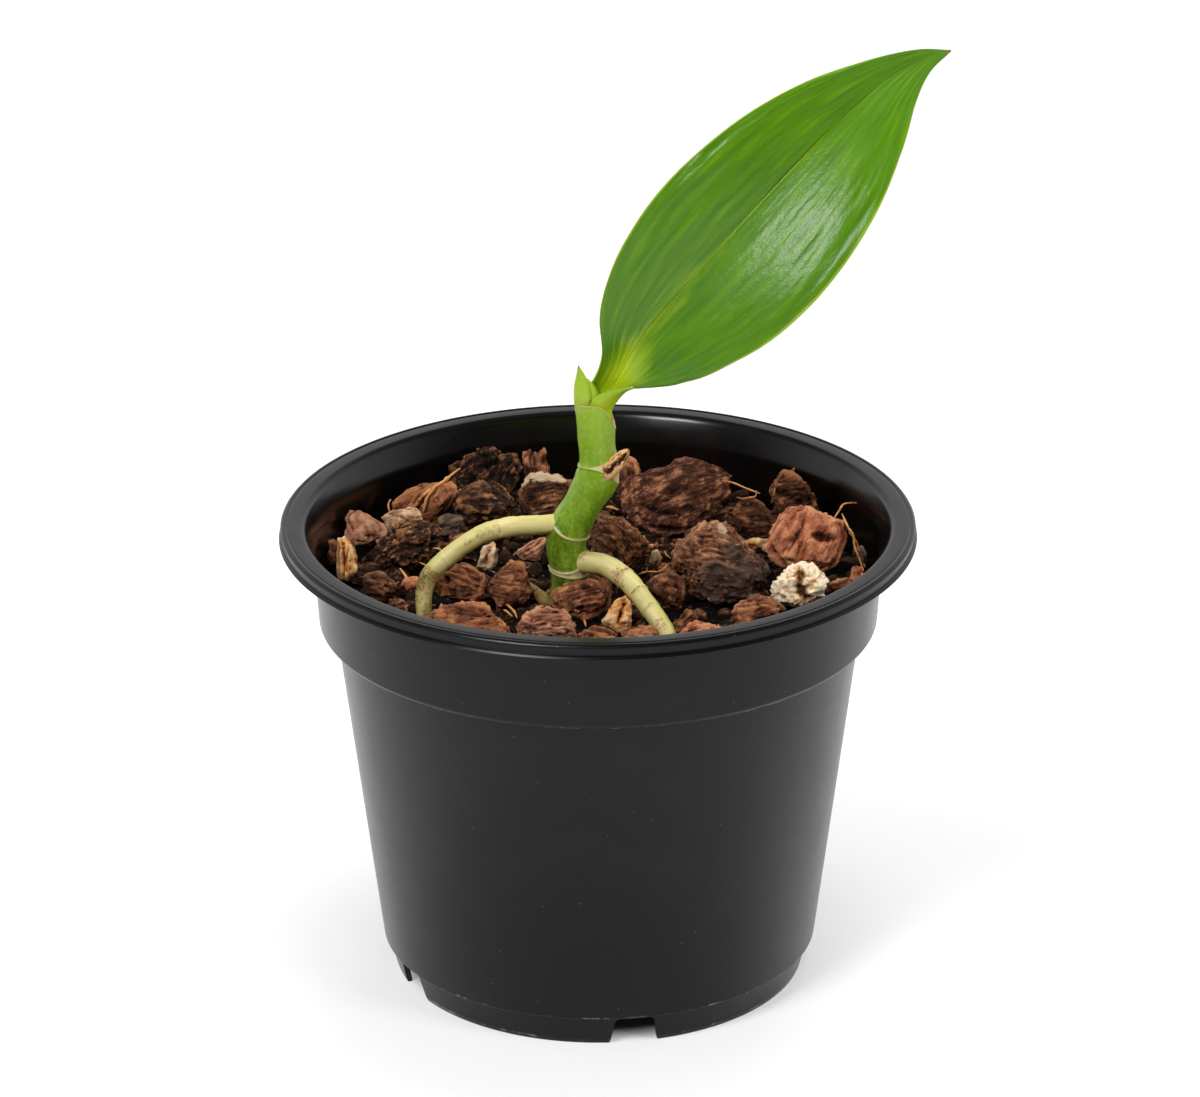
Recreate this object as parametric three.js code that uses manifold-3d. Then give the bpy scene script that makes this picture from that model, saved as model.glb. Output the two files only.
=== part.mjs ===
// A vanilla orchid cutting in a black nursery pot filled with loose orchid bark.
// Millimetres, +Z up. The viewer stands at -Y, so +X is on the right and +Y is the back.
import * as THREE from 'three';
import { mergeVertices } from 'three/addons/utils/BufferGeometryUtils.js';
import Module from 'manifold-3d';

// Driving sizes of the pot
const RIM_RADIUS = 70;
const POT_HEIGHT = 105.5;
const WALL = 1;
const LIP_EDGE_HEIGHT = 102.3;
const COLLAR_TOP_RADIUS = 62.7;
const COLLAR_TOP_HEIGHT = 101.4;
const COLLAR_BOTTOM_RADIUS = 61.5;
const STEP_HEIGHT = 82.5;
const BODY_TOP_RADIUS = 58;
const BODY_BOTTOM_RADIUS = 48.5;
const FOOT_HEIGHT = 7.3;
const FOOT_TOP_RADIUS = 47.4;
const FOOT_BOTTOM_RADIUS = 46;
const FLOOR_THICKNESS = 1;
const POT_SIDES = 60;

// Five notches let water out under the foot, and a drain hole lies behind each one
const NOTCH_COUNT = 5;
const FIRST_NOTCH_TURN = THREE.MathUtils.degToRad(9.8);
const NOTCH_TOP_WIDTH = 8;
const NOTCH_BOTTOM_WIDTH = 11;
const NOTCH_HEIGHT = 6.8;
const DRAIN_HOLE_RADIUS = 4;
const DRAIN_HOLE_PLACE = 36;

// The bark bed: its surface height, how far that rises to the back and undulates, and its gap to the wall
const BED_TOP = 91.6;
const BED_BACK_RISE = 1.4;
const BED_BUMP = 0.7;
const BED_SIDES = 40;
const WALL_GAP = 0.5;

// The gap that every touching piece keeps
const GAP = 0.3;

// The plant
const STEM_SIDES = 16;
const ROOT_SIDES = 10;
const SHOOT_SIDES = 10;
const STUB_SIDES = 8;
const LEAF_THICKNESS = 1.3;
const STALK_THICKNESS = 4;
const LEAF_FOLD = THREE.MathUtils.degToRad(15);

const wasm = await Module();
wasm.setup();

// Turns a closed three.js geometry into a solid that can be cut.
function solid(geometry) {
  const bare = geometry.clone();
  bare.deleteAttribute('normal');
  bare.deleteAttribute('uv');
  const merged = mergeVertices(bare, 1e-4);
  const index = merged.index.array;
  const triangles = [];
  for (let i = 0; i < index.length; i += 3) {
    const [a, b, c] = [index[i], index[i + 1], index[i + 2]];
    if (a !== b && b !== c && c !== a) triangles.push(a, b, c);
  }
  const vertProperties = new Float32Array(merged.attributes.position.array);
  const triVerts = new Uint32Array(triangles);
  return new wasm.Manifold(new wasm.Mesh({ numProp: 3, vertProperties, triVerts }));
}

// Keeps the largest body of a cut piece, so that no loose crumb is left.
function largest(cut) {
  const bodies = cut.decompose();
  return bodies.reduce((best, next) => (next.volume() > best.volume() ? next : best));
}

function geometryOf(body) {
  const mesh = body.getMesh();
  const geometry = new THREE.BufferGeometry();
  geometry.setAttribute('position', new THREE.BufferAttribute(new Float32Array(mesh.vertProperties), 3));
  geometry.setIndex(new THREE.BufferAttribute(new Uint32Array(mesh.triVerts), 1));
  const flat = geometry.toNonIndexed();
  flat.computeVertexNormals();
  return flat;
}

// Revolves a profile of [radius, height] pairs about the upright axis.
function turned(profile, sides) {
  const points = profile.map(([radius, height]) => new THREE.Vector2(radius, height));
  const geometry = new THREE.LatheGeometry(points, sides);
  geometry.rotateX(Math.PI / 2);
  return geometry;
}

// A smooth curve through [place, value] pairs, with places from 0 to 1.
function spline(pairs) {
  return new THREE.SplineCurve(pairs.map(([place, value]) => new THREE.Vector2(place, value)));
}

// Reads such a curve at a place by halving.
function valueAt(curve, place) {
  let low = 0;
  let high = 1;
  for (let i = 0; i < 24; i += 1) {
    const middle = (low + high) / 2;
    if (curve.getPoint(middle).x < place) low = middle;
    else high = middle;
  }
  return curve.getPoint(low).y;
}

// A cylinder bent along a curve, with its radius given along its length.
function limb(points, radii, sides, steps, extra = 0) {
  const curve = new THREE.CatmullRomCurve3(points.map((p) => new THREE.Vector3(...p)));
  const radiusCurve = spline(radii);
  const geometry = new THREE.CylinderGeometry(1, 1, 1, sides, steps);
  const frames = curve.computeFrenetFrames(steps, false);
  const position = geometry.attributes.position;
  for (let i = 0; i < position.count; i += 1) {
    const step = Math.round((0.5 - position.getY(i)) * steps);
    const along = step / steps;
    const radius = valueAt(radiusCurve, along) + extra;
    const place = curve.getPointAt(along);
    if (step === 0) place.addScaledVector(frames.tangents[0], -extra);
    if (step === steps) place.addScaledVector(frames.tangents[steps], extra);
    place.addScaledVector(frames.normals[step], position.getX(i) * radius);
    place.addScaledVector(frames.binormals[step], position.getZ(i) * radius);
    position.setXYZ(i, place.x, place.y, place.z);
  }
  return outward(geometry);
}

// Turns every face round if the solid is inside out.
function outward(geometry) {
  const index = geometry.index.array;
  const position = geometry.attributes.position;
  const corners = [new THREE.Vector3(), new THREE.Vector3(), new THREE.Vector3()];
  let volume = 0;
  for (let i = 0; i < index.length; i += 3) {
    corners.forEach((corner, k) => corner.fromBufferAttribute(position, index[i + k]));
    volume += corners[0].dot(corners[1].clone().cross(corners[2]));
  }
  if (volume > 0) return geometry;
  for (let i = 0; i < index.length; i += 3) {
    const second = index[i + 1];
    index[i + 1] = index[i + 2];
    index[i + 2] = second;
  }
  return geometry;
}

// Pot: one closed profile, up the outside, over the lip, down the inside and across the raised floor.
const floorTop = FOOT_HEIGHT + FLOOR_THICKNESS;
const bodySlope = (BODY_TOP_RADIUS - BODY_BOTTOM_RADIUS) / (STEP_HEIGHT - FOOT_HEIGHT);
const collarSlope = (COLLAR_TOP_RADIUS - COLLAR_BOTTOM_RADIUS) / (COLLAR_TOP_HEIGHT - STEP_HEIGHT);
const bodyInside = (height) => BODY_BOTTOM_RADIUS - WALL + (height - FOOT_HEIGHT) * bodySlope;
const collarInside = (height) => COLLAR_BOTTOM_RADIUS - WALL + (height - STEP_HEIGHT) * collarSlope;

function potOutside() {
  return [
    [FOOT_BOTTOM_RADIUS - 0.5, 0],
    [FOOT_BOTTOM_RADIUS, 1.2],
    [FOOT_TOP_RADIUS, FOOT_HEIGHT - 0.3],
    [BODY_BOTTOM_RADIUS, FOOT_HEIGHT],
    [BODY_TOP_RADIUS, STEP_HEIGHT - 0.4],
    [COLLAR_BOTTOM_RADIUS - 0.7, STEP_HEIGHT],
    [COLLAR_BOTTOM_RADIUS, STEP_HEIGHT + 0.7],
    [COLLAR_TOP_RADIUS, COLLAR_TOP_HEIGHT],
    [COLLAR_TOP_RADIUS + 1, LIP_EDGE_HEIGHT],
    [RIM_RADIUS, LIP_EDGE_HEIGHT],
    [RIM_RADIUS, LIP_EDGE_HEIGHT + 0.7],
    [RIM_RADIUS - 0.9, POT_HEIGHT - 0.4],
    [RIM_RADIUS - 1.6, POT_HEIGHT],
  ];
}

function potInside() {
  return [
    [RIM_RADIUS - 4.8, POT_HEIGHT],
    [RIM_RADIUS - 5.6, POT_HEIGHT - 0.6],
    [collarInside(COLLAR_TOP_HEIGHT - 1), COLLAR_TOP_HEIGHT - 1],
    [collarInside(STEP_HEIGHT + 1), STEP_HEIGHT + 1],
    [bodyInside(STEP_HEIGHT - 0.4), STEP_HEIGHT + 0.2],
    [bodyInside(floorTop), floorTop],
  ];
}

function potUnderFloor() {
  return [
    [0, floorTop],
    [0, FOOT_HEIGHT],
    [FOOT_TOP_RADIUS - WALL - 0.3, FOOT_HEIGHT],
    [FOOT_BOTTOM_RADIUS - WALL - 0.6, 0],
  ];
}

function potBlank() {
  const outside = potOutside();
  return turned([...outside, ...potInside(), ...potUnderFloor(), outside[0]], POT_SIDES);
}

function notchCutter(turn) {
  const shape = new THREE.Shape();
  shape.moveTo(-NOTCH_BOTTOM_WIDTH / 2, -1);
  shape.lineTo(NOTCH_BOTTOM_WIDTH / 2, -1);
  shape.lineTo(NOTCH_BOTTOM_WIDTH / 2 - 0.8, 1);
  shape.lineTo(NOTCH_TOP_WIDTH / 2, NOTCH_HEIGHT - 0.8);
  shape.lineTo(NOTCH_TOP_WIDTH / 2 - 0.8, NOTCH_HEIGHT);
  shape.lineTo(-NOTCH_TOP_WIDTH / 2 + 0.8, NOTCH_HEIGHT);
  shape.lineTo(-NOTCH_TOP_WIDTH / 2, NOTCH_HEIGHT - 0.8);
  shape.lineTo(-NOTCH_BOTTOM_WIDTH / 2 + 0.8, 1);
  const geometry = new THREE.ExtrudeGeometry(shape, { depth: 8, bevelEnabled: false });
  geometry.rotateX(Math.PI / 2);
  geometry.translate(0, -FOOT_BOTTOM_RADIUS + 5, 0);
  geometry.rotateZ(turn);
  return solid(geometry);
}

function drainHoleCutter(turn) {
  const geometry = new THREE.CylinderGeometry(DRAIN_HOLE_RADIUS, DRAIN_HOLE_RADIUS, 4, 12);
  geometry.rotateX(Math.PI / 2);
  geometry.translate(0, -DRAIN_HOLE_PLACE, FOOT_HEIGHT + FLOOR_THICKNESS / 2);
  geometry.rotateZ(turn);
  return solid(geometry);
}

function makePot() {
  let pot = solid(potBlank());
  for (let i = 0; i < NOTCH_COUNT; i += 1) {
    const turn = FIRST_NOTCH_TURN + (i * 2 * Math.PI) / NOTCH_COUNT;
    pot = pot.subtract(notchCutter(turn)).subtract(drainHoleCutter(turn));
  }
  return pot;
}

// Everything that fills the pot stays inside this profile, a gap clear of the wall and the floor.
function fillProfile(top) {
  return [
    [0, floorTop + GAP],
    [bodyInside(floorTop) - WALL_GAP, floorTop + GAP],
    [bodyInside(STEP_HEIGHT) - WALL_GAP, STEP_HEIGHT],
    [collarInside(STEP_HEIGHT) - WALL_GAP, STEP_HEIGHT + 2.4],
    [collarInside(top) - WALL_GAP, top],
  ];
}

// Stem: the buried foot, three internodes and their swollen nodes, as one grown piece.
const STEM_PATH = [
  [-7, -12.5, 70],
  [-7.5, -13.5, 84],
  [-7.2, -14, 91.7],
  [-6.3, -13.8, 96],
  [-6.2, -13.6, 100],
  [-6.9, -13.3, 105],
  [-6.1, -13.1, 109],
  [-2.9, -12.9, 115],
  [0, -12.7, 121],
  [-0.2, -12.3, 129],
  [-0.5, -12, 137.2],
];
const STEM_RADII = [
  [0, 3.2],
  [0.2, 3.7],
  [0.38, 3.9],
  [0.45, 4.5],
  [0.5, 4.4],
  [0.58, 4.6],
  [0.66, 4.1],
  [0.76, 4.7],
  [0.82, 4.1],
  [0.92, 4.15],
  [1, 4.4],
];
const makeStem = (extra = 0) => solid(limb(STEM_PATH, STEM_RADII, STEM_SIDES, 26, extra));

// Aerial roots arch out of the nodes and dive into the bark. The short olive one leaves the foot.
const ROOTS = {
  aerial_root_left: {
    path: [
      [-8, -13.4, 109.6],
      [-12, -14, 109.9],
      [-17, -14.4, 109.8],
      [-21.2, -14.8, 109.3],
      [-24.9, -15.2, 108.3],
      [-28, -15.6, 106.6],
      [-33.8, -16.4, 102.2],
      [-36.6, -17, 99.2],
      [-37.8, -17.6, 95.6],
      [-37.9, -18, 91],
      [-37.5, -17.5, 80],
    ],
    radii: [[0, 2.2], [0.3, 2.25], [0.6, 2.35], [0.8, 2.2], [1, 1.8]],
  },
  aerial_root_right: {
    path: [
      [-5, -14.6, 101.4],
      [-2.8, -16, 101.8],
      [1.5, -18.7, 102.2],
      [4.3, -21.3, 101.6],
      [7.2, -24, 99.9],
      [9.7, -26.7, 97.5],
      [12.3, -29.3, 94.8],
      [14.8, -31.6, 91.6],
      [16.2, -33.5, 86],
      [16.6, -34, 78],
    ],
    radii: [[0, 2.4], [0.4, 2.4], [0.7, 2.1], [1, 1.7]],
  },
  foot_root: {
    path: [
      [-9, -15.4, 91],
      [-11, -15.6, 92.2],
      [-13.5, -12, 93],
      [-16, -9, 93],
      [-19, -6, 90],
      [-21, -3, 84],
    ],
    radii: [[0, 1.9], [0.5, 1.8], [1, 1.4]],
  },
};
const makeRoot = (name, extra = 0) =>
  solid(limb(ROOTS[name].path, ROOTS[name].radii, ROOT_SIDES, 24, extra));

// The young shoot: a pointed cone beside the leaf stalk.
const SHOOT_PATH = [[-2.6, -12.2, 136.6], [-2.6, -12.1, 139.5], [-3, -12, 142.5], [-4.1, -12, 145.8]];
const SHOOT_RADII = [[0, 2.1], [0.3, 2.3], [0.6, 1.8], [0.85, 0.8], [1, 0.25]];
const makeShoot = (extra = 0) => solid(limb(SHOOT_PATH, SHOOT_RADII, SHOOT_SIDES, 8, extra));

// The dried stub at the upper node, leaning up and to the right.
const STUB_PATH = [[1.5, -14.8, 122], [2.9, -16, 123.7], [4.7, -15.6, 125.5], [6.6, -14.8, 127.5]];
const STUB_RADII = [[0, 1.9], [0.4, 1.9], [0.8, 1.7], [1, 1.2]];
const makeStub = (extra = 0) => solid(limb(STUB_PATH, STUB_RADII, STUB_SIDES, 5, extra));

// Leaf: the midrib in space, and the half widths of the upper and the lower side along it.
const LEAF_MIDRIB = [
  [1.4, -12.8, 134.2],
  [3, -13, 138.1],
  [4.1, -13.3, 141.4],
  [6.1, -13.8, 147],
  [10.2, -14, 154],
  [21.7, -13.5, 168.1],
  [32.1, -11.5, 179.6],
  [42.6, -7.5, 190.1],
  [53.5, -1.5, 199.4],
  [61.6, 4, 204.7],
  [69.2, 8.5, 207.9],
  [75.8, 12, 208.7],
];
const LEAF_UPPER_HALF = [
  [0, 2.6], [0.05, 3], [0.09, 3.6], [0.12, 5.4], [0.17, 9.8], [0.25, 14.4], [0.34, 17], [0.44, 17.9],
  [0.54, 17.1], [0.64, 14.9], [0.74, 11.2], [0.83, 7], [0.92, 2.9], [1, 0.3],
];
const LEAF_LOWER_HALF = [
  [0, 2.2], [0.06, 2.2], [0.09, 3.8], [0.12, 8], [0.17, 14.4], [0.25, 18.8], [0.34, 21.5], [0.44, 23.1],
  [0.54, 22.6], [0.64, 20.2], [0.74, 16.4], [0.83, 10.7], [0.92, 4.3], [1, 0.3],
];
const LEAF_FACES = new THREE.Vector3(0, -0.92, 0.39);

function makeLeaf(extra = 0) {
  const across = 8;
  const along = 24;
  const midrib = new THREE.CatmullRomCurve3(LEAF_MIDRIB.map((p) => new THREE.Vector3(...p)));
  const upper = spline(LEAF_UPPER_HALF);
  const lower = spline(LEAF_LOWER_HALF);
  const geometry = new THREE.BoxGeometry(2, 1, 2, across, along, 1);
  const position = geometry.attributes.position;
  for (let i = 0; i < position.count; i += 1) {
    const place = position.getY(i) + 0.5;
    const side = position.getX(i);
    const tangent = midrib.getTangentAt(place);
    const outwards = tangent.clone().cross(LEAF_FACES).normalize();
    const face = outwards.clone().cross(tangent).normalize();
    const half = valueAt(side > 0 ? lower : upper, place) + extra;
    const stalk = THREE.MathUtils.smoothstep(0.14 - place, 0, 0.08);
    const middle = THREE.MathUtils.lerp(LEAF_THICKNESS, STALK_THICKNESS, stalk);
    const thickness = middle * (1 - 0.45 * side * side) + 2 * extra;
    const point = midrib.getPointAt(place);
    point.addScaledVector(tangent, (place < 0.01 ? -extra : 0) + (place > 0.99 ? extra : 0));
    point.addScaledVector(outwards, side * half * Math.cos(LEAF_FOLD));
    point.addScaledVector(face, Math.abs(side) * half * Math.sin(LEAF_FOLD));
    point.addScaledVector(face, (position.getZ(i) * thickness) / 2);
    position.setXYZ(i, point.x, point.y, point.z);
  }
  return solid(outward(geometry));
}

// Colours
const BLACK_PLASTIC = '#343335';
const STEM_GREEN = '#5f8a22';
const LEAF_GREEN = '#2f7a20';
const SHOOT_GREEN = '#6f9a30';
const DRIED_BROWN = '#9a6a3c';
const ROOT_PALE = '#b5b065';
const ROOT_OLIVE = '#5c5a26';
const SHADED_BARK = '#2a1c16';
const DARK_BROWN = '#3a2620';
const CHARCOAL = '#2b2729';
const RED_BROWN = '#5c3628';
const RUST = '#8a4f38';
const MAUVE_BROWN = '#6d4b40';
const OCHRE = '#a8794a';
const BEIGE = '#b89a80';
const PUMICE = '#d8c8b0';

// Chips. Each one is a lump round a flat outline of [right, up] points that lies in a plane tipped back
// from upright and turned about the vertical. It is as thick as "thick" says.
const CHIPS = [
  {
    name: 'bark_charcoal_right', colour: CHARCOAL, at: [26.5, -5, 96.5], tip: 42, thick: 13,
    outline: [[-11.5, 1.5], [-9.5, 5], [-6, 7.4], [-2, 9.4], [2.5, 9], [5.5, 5.4], [8.5, 1.5],
      [11.5, -1.5], [10, -5], [5.5, -8.4], [-1, -9.4], [-5.5, -7.4], [-7, -2.5], [-10.5, -1]],
  },
  {
    name: 'bark_rust_right', colour: RUST, at: [46.3, 6, 97.5], tip: 36, thick: 11,
    outline: [[-10, -2], [-8.5, 2], [-6, 6.2], [-4, 7.8], [-0.5, 8.2], [2.5, 6.6], [6, 5.2], [9, 4.2],
      [9.5, 1], [8.5, -1.5], [7, -4], [6, -6.2], [2.5, -7.7], [-4, -7.2], [-7, -5.7]],
  },
  {
    name: 'bark_slab_back', colour: RED_BROWN, at: [17.5, 32.3, 97.4], tip: 50, thick: 6,
    outline: [[-13, -0.5], [-12.5, 5], [-8, 6.2], [-1.5, 7.9], [2.5, 10.7], [6, 10.2], [10, 8.4],
      [12.5, 5.5], [13, 0], [9, -2.2], [8, -5], [6, -9], [2, -10.7], [-4.5, -10], [-9.5, -6.7],
      [-13, -3.4]],
  },
  {
    name: 'pumice_lump', colour: PUMICE, at: [43.6, -15.5, 95.8], tip: 30, thick: 10,
    outline: [[-6.5, -2], [-5.5, 1], [-3, 3.5], [0, 5], [4, 4], [6, 2], [6, -0.5], [4.5, -3.5], [0, -5],
      [-4.5, -4]],
  },
  {
    name: 'bark_charcoal_left', colour: CHARCOAL, at: [-42.3, 7, 96.5], tip: 36, thick: 10,
    outline: [[-8, -1.5], [-6, 1], [-3.5, 3.6], [-1, 5.1], [3, 5.6], [6, 5.1], [7.5, 3.5], [7.5, 0],
      [5.5, -2.6], [2, -5.1], [-2.5, -5.6], [-6, -4.1]],
  },
  {
    name: 'bark_front_left', colour: RUST, at: [-28, -31.5, 94.8], tip: 45, thick: 8,
    outline: [[-9, 1], [-7, 3.2], [-4, 3.8], [2, 3.8], [6, 1.6], [9.5, -2], [8, -4.8], [-6, -4.8],
      [-9, -1.6]],
  },
  {
    name: 'bark_front_middle', colour: MAUVE_BROWN, at: [-11.2, -33.3, 94.8], tip: 40, thick: 8,
    outline: [[-6.5, 0], [-4.5, 2], [-1.5, 3.2], [3.5, 3.2], [4.5, 2], [7, -0.5], [6.5, -3.5], [2, -5],
      [-3.5, -4.5], [-6.5, -2]],
  },
  {
    name: 'bark_by_stem_front', colour: RED_BROWN, at: [-3.8, -22.3, 96], tip: 30, thick: 6,
    outline: [[-6, 1.5], [-4, 3], [-1.5, 4], [4, 4], [6, 3], [6.5, 0.5], [5.5, -2.5], [2, -4.5],
      [-3.5, -3.5], [-6, -1.5]],
  },
  {
    name: 'bark_ochre_front', colour: OCHRE, at: [4, -28, 95], tip: 35, thick: 4.5,
    outline: [[-3.5, -2.5], [-2, 0], [-0.5, 3], [2, 4.2], [3.5, 2.5], [3.5, 0], [3, -3.5], [0.5, -4.2]],
  },
  {
    name: 'bark_fibrous_left', colour: RED_BROWN, at: [-30, -12, 95.3], tip: 36, thick: 8,
    outline: [[-6, 0], [-5, 2.5], [-1.5, 3.5], [1, 4.6], [3, 3.6], [5.5, 1], [6, -1.5], [4, -4.1],
      [-1.5, -4.1], [-4.5, -2.5]],
  },
  {
    name: 'bark_fibrous_middle', colour: RED_BROWN, at: [-19.3, -13.8, 95.8], tip: 34, thick: 7.5,
    outline: [[-4.5, 0.5], [-2, 3], [1, 5], [3.5, 4], [4.5, 1], [4.5, -2.5], [2, -5], [-2, -5],
      [-4.5, -2.5]],
  },
  {
    name: 'bark_dark_by_stem', colour: CHARCOAL, at: [4.3, 8.6, 96], tip: 36, thick: 10,
    outline: [[-6, 3.5], [-4, 6.1], [1, 5.7], [4, 2], [7, -0.5], [6, -4.6], [2.5, -6.7], [-3, -6.2],
      [-5.5, -3.6]],
  },
  {
    name: 'bark_charcoal_back_left', colour: CHARCOAL, at: [-25, 31.6, 96.6], tip: 40, thick: 9,
    outline: [[-7.5, -1.5], [-7, 1], [-4.5, 3.2], [-0.5, 4.2], [2.5, 4.7], [4.5, 2.5], [7, 0],
      [7.5, -2.5], [4, -5.2], [-4, -5.2], [-6.5, -3]],
  },
  {
    name: 'bark_orange_back_left', colour: RUST, at: [-39.3, 35, 95.8], tip: 34, thick: 8,
    outline: [[-8, -2.5], [-6, 0.5], [-4.5, 2], [-0.5, 4.5], [3, 4.5], [7, 3], [7.5, 1], [6, -2],
      [4, -4.5], [0.5, -6], [-5, -5]],
  },
  {
    name: 'bark_mauve_left', colour: MAUVE_BROWN, at: [-51.6, 21, 95], tip: 36, thick: 6.5,
    outline: [[-5, 2.5], [-4, 4.2], [-2, 4.2], [1, 2.5], [5, 0], [4.5, -2.5], [2.5, -3.2], [-1, -4.2],
      [-4, -4.2], [-5, -0.5]],
  },
  {
    name: 'bark_ochre_left', colour: OCHRE, at: [-55.2, 4.2, 94.2], tip: 26, thick: 5,
    outline: [[-2.5, 5], [-0.5, 5.2], [1.5, 3], [2.5, 0], [2, -3], [1, -5], [-2, -5], [-2.5, -2]],
  },
  {
    name: 'bark_beige_left', colour: BEIGE, at: [-44, 23.8, 96], tip: 34, thick: 4,
    outline: [[-5, 0], [-2.5, 1.6], [2.5, 2.6], [4.5, 1.6], [5, 0], [4, -5.5], [0, -5.5], [-3.5, -2.1]],
  },
  {
    name: 'bark_crusted_back', colour: DARK_BROWN, at: [-12, 35.2, 96.8], tip: 36, thick: 8,
    outline: [[-6, 0.5], [-4, 4.2], [-3, 5.2], [0, 4.7], [3.5, 4.2], [6.5, 3.5], [6, -1], [3, -4.7],
      [-2.5, -5.2], [-5.5, -3]],
  },
  {
    name: 'bark_peaked_right', colour: CHARCOAL, at: [35, 24.6, 95.8], tip: 34, thick: 8,
    outline: [[-5, 0.5], [-3, 3.5], [-0.5, 4.1], [1, 3.6], [4.5, 0], [5.5, -4], [1, -5.5], [-4, -4.5]],
  },
  {
    name: 'bark_dark_back_right', colour: DARK_BROWN, at: [44, 33, 97.4], tip: 34, thick: 7,
    outline: [[-5.5, 1], [-4, 4], [-2.5, 5.5], [0.5, 5], [3.5, 2], [5.5, -0.5], [6, -4], [1.5, -6],
      [-4, -5]],
  },
  {
    name: 'bark_dark_back_left', colour: DARK_BROWN, at: [-27.5, 49, 97], tip: 36, thick: 6,
    outline: [[-5.5, -0.5], [-4.5, 2], [-2, 3.6], [0.5, 5.2], [4.5, 5.2], [6, 3], [5.5, -0.5], [3, -5],
      [-1, -6.5], [-5, -5]],
  },
  {
    name: 'bark_streaked_back', colour: DARK_BROWN, at: [-21.5, 44.6, 98.6], tip: 30, thick: 5.5,
    outline: [[-4.5, -2], [-3.5, 0.5], [-1, 2.5], [0, 3.5], [2.5, 4], [4, 2], [3.5, -1.5], [1.5, -6],
      [-3, -6]],
  },
  {
    name: 'bark_horned_back', colour: RED_BROWN, at: [-13.8, 52.4, 97.2], tip: 28, thick: 4.5,
    outline: [[-3.5, 0.5], [-2, 4], [0, 2.6], [1.6, 4], [2.2, 1.5], [3.5, -1.5], [3, -5], [-2.5, -5]],
  },
  {
    name: 'bark_reddish_back', colour: RED_BROWN, at: [7.2, 49.4, 97], tip: 32, thick: 5,
    outline: [[-3, -5], [-2.5, 1], [0, 2.5], [2, 1], [2.5, -5]],
  },
  {
    name: 'bark_red_front_right', colour: RED_BROWN, at: [34.7, -25, 94.6], tip: 42, thick: 8,
    outline: [[-6, -1.5], [-4, 1], [-1, 2.6], [2, 2.1], [6, 0], [5, -3.5], [-4.5, -4.5]],
  },
  {
    name: 'bark_behind_right_root', colour: DARK_BROWN, at: [14.5, -14.6, 94.4], tip: 36, thick: 7,
    outline: [[-4.5, 1], [-2, 3], [1.5, 4.6], [4, 2.6], [4.5, -1], [3, -4.1], [-1, -2.6], [-4, -1.5]],
  },
  {
    name: 'bark_round_left', colour: DARK_BROWN, at: [-47.5, -11.4, 94], tip: 36, thick: 7.5,
    outline: [[-4.5, 1], [-3, 2.6], [-0.5, 3.1], [2, 2.1], [4.5, 0], [4, -2.6], [0, -3.6],
      [-3.5, -2.6]],
  },
  {
    name: 'bark_upright_tan', colour: BEIGE, at: [-24.8, 6.2, 94.2], tip: 26, thick: 3.5,
    outline: [[-2.5, -3], [-1, 1], [0, 2.5], [2, 3], [3, 1], [2.5, -2], [1, -3.4]],
  },
  {
    name: 'bark_grey_brown', colour: MAUVE_BROWN, at: [-15, 12, 93.6], tip: 34, thick: 5,
    outline: [[-3.5, -1.5], [-1, 0.6], [1, 2], [3.5, 2.5], [3.5, 1], [2, -3], [-1.5, -3]],
  },
  {
    name: 'bark_blue_grey', colour: CHARCOAL, at: [-33.4, 22.8, 94.3], tip: 40, thick: 5,
    outline: [[-3, 0.5], [-0.5, 2], [2.5, 1.6], [3.5, -1], [1, -3], [-2.5, -3]],
  },
  {
    name: 'bark_red_sliver', colour: RED_BROWN, at: [-30.8, 16.8, 93.4], tip: 40, thick: 4.5,
    outline: [[-2.5, 1], [2.5, 1.6], [3, 0], [2, -2.5], [-2, -2.5]],
  },
  {
    name: 'bark_front_right', colour: RUST, at: [21.7, -36, 94.4], tip: 45, thick: 6.5,
    outline: [[-4.5, -1], [-2.5, 1.1], [0, 1.6], [4.5, 0], [4, -3], [-3.5, -3]],
  },
  {
    name: 'bark_grey_front_right', colour: CHARCOAL, at: [18.6, -29.6, 94.2], tip: 34, thick: 4.5,
    outline: [[-2.5, -1], [-1, 1.5], [0.5, 2.5], [2.5, 1.5], [2.5, -2.4], [-2, -2.8]],
  },
  {
    name: 'bark_front_centre', colour: RED_BROWN, at: [0.3, -37.4, 94.4], tip: 42, thick: 6.5,
    outline: [[-4.5, -0.5], [-1.5, 1.6], [2.5, 0.5], [4, -0.5], [3.5, -3], [-4, -3]],
  },
  {
    name: 'bark_front_root', colour: DARK_BROWN, at: [9, -38, 94.4], tip: 42, thick: 6.5,
    outline: [[-4, 0], [-1, 1.6], [2, 1.1], [4.5, -0.5], [3, -3], [-3, -3]],
  },
  {
    name: 'bark_tan_crumb', colour: BEIGE, at: [12.4, 7.2, 93.6], tip: 30, thick: 3,
    outline: [[-1.5, -2], [-0.5, 1], [1, 1.6], [1.6, -0.5], [1.2, -2.4]],
  },
  {
    name: 'bark_orange_right', colour: RUST, at: [56.8, -4, 94.4], tip: 30, thick: 4,
    outline: [[-2, -1.5], [-1, 1.5], [1, 1.5], [2, 0], [1.5, -3.2], [-1.5, -3.2]],
  },
  {
    name: 'bark_red_right', colour: RED_BROWN, at: [53, -10, 93.8], tip: 36, thick: 4.5,
    outline: [[-3, -0.5], [0, 1.1], [3, 1.6], [2.5, -2], [-2.5, -2.5]],
  },
  {
    name: 'bark_twig_right', colour: OCHRE, at: [34.6, 14.8, 93.4], tip: 30, thick: 1.8,
    outline: [[-3.5, 0.9], [3.5, 0.9], [3.8, -0.8], [-3.5, -1]],
  },
  {
    name: 'bark_grey_rim_right', colour: CHARCOAL, at: [58.4, 6.5, 93.8], tip: 26, thick: 4,
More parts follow.
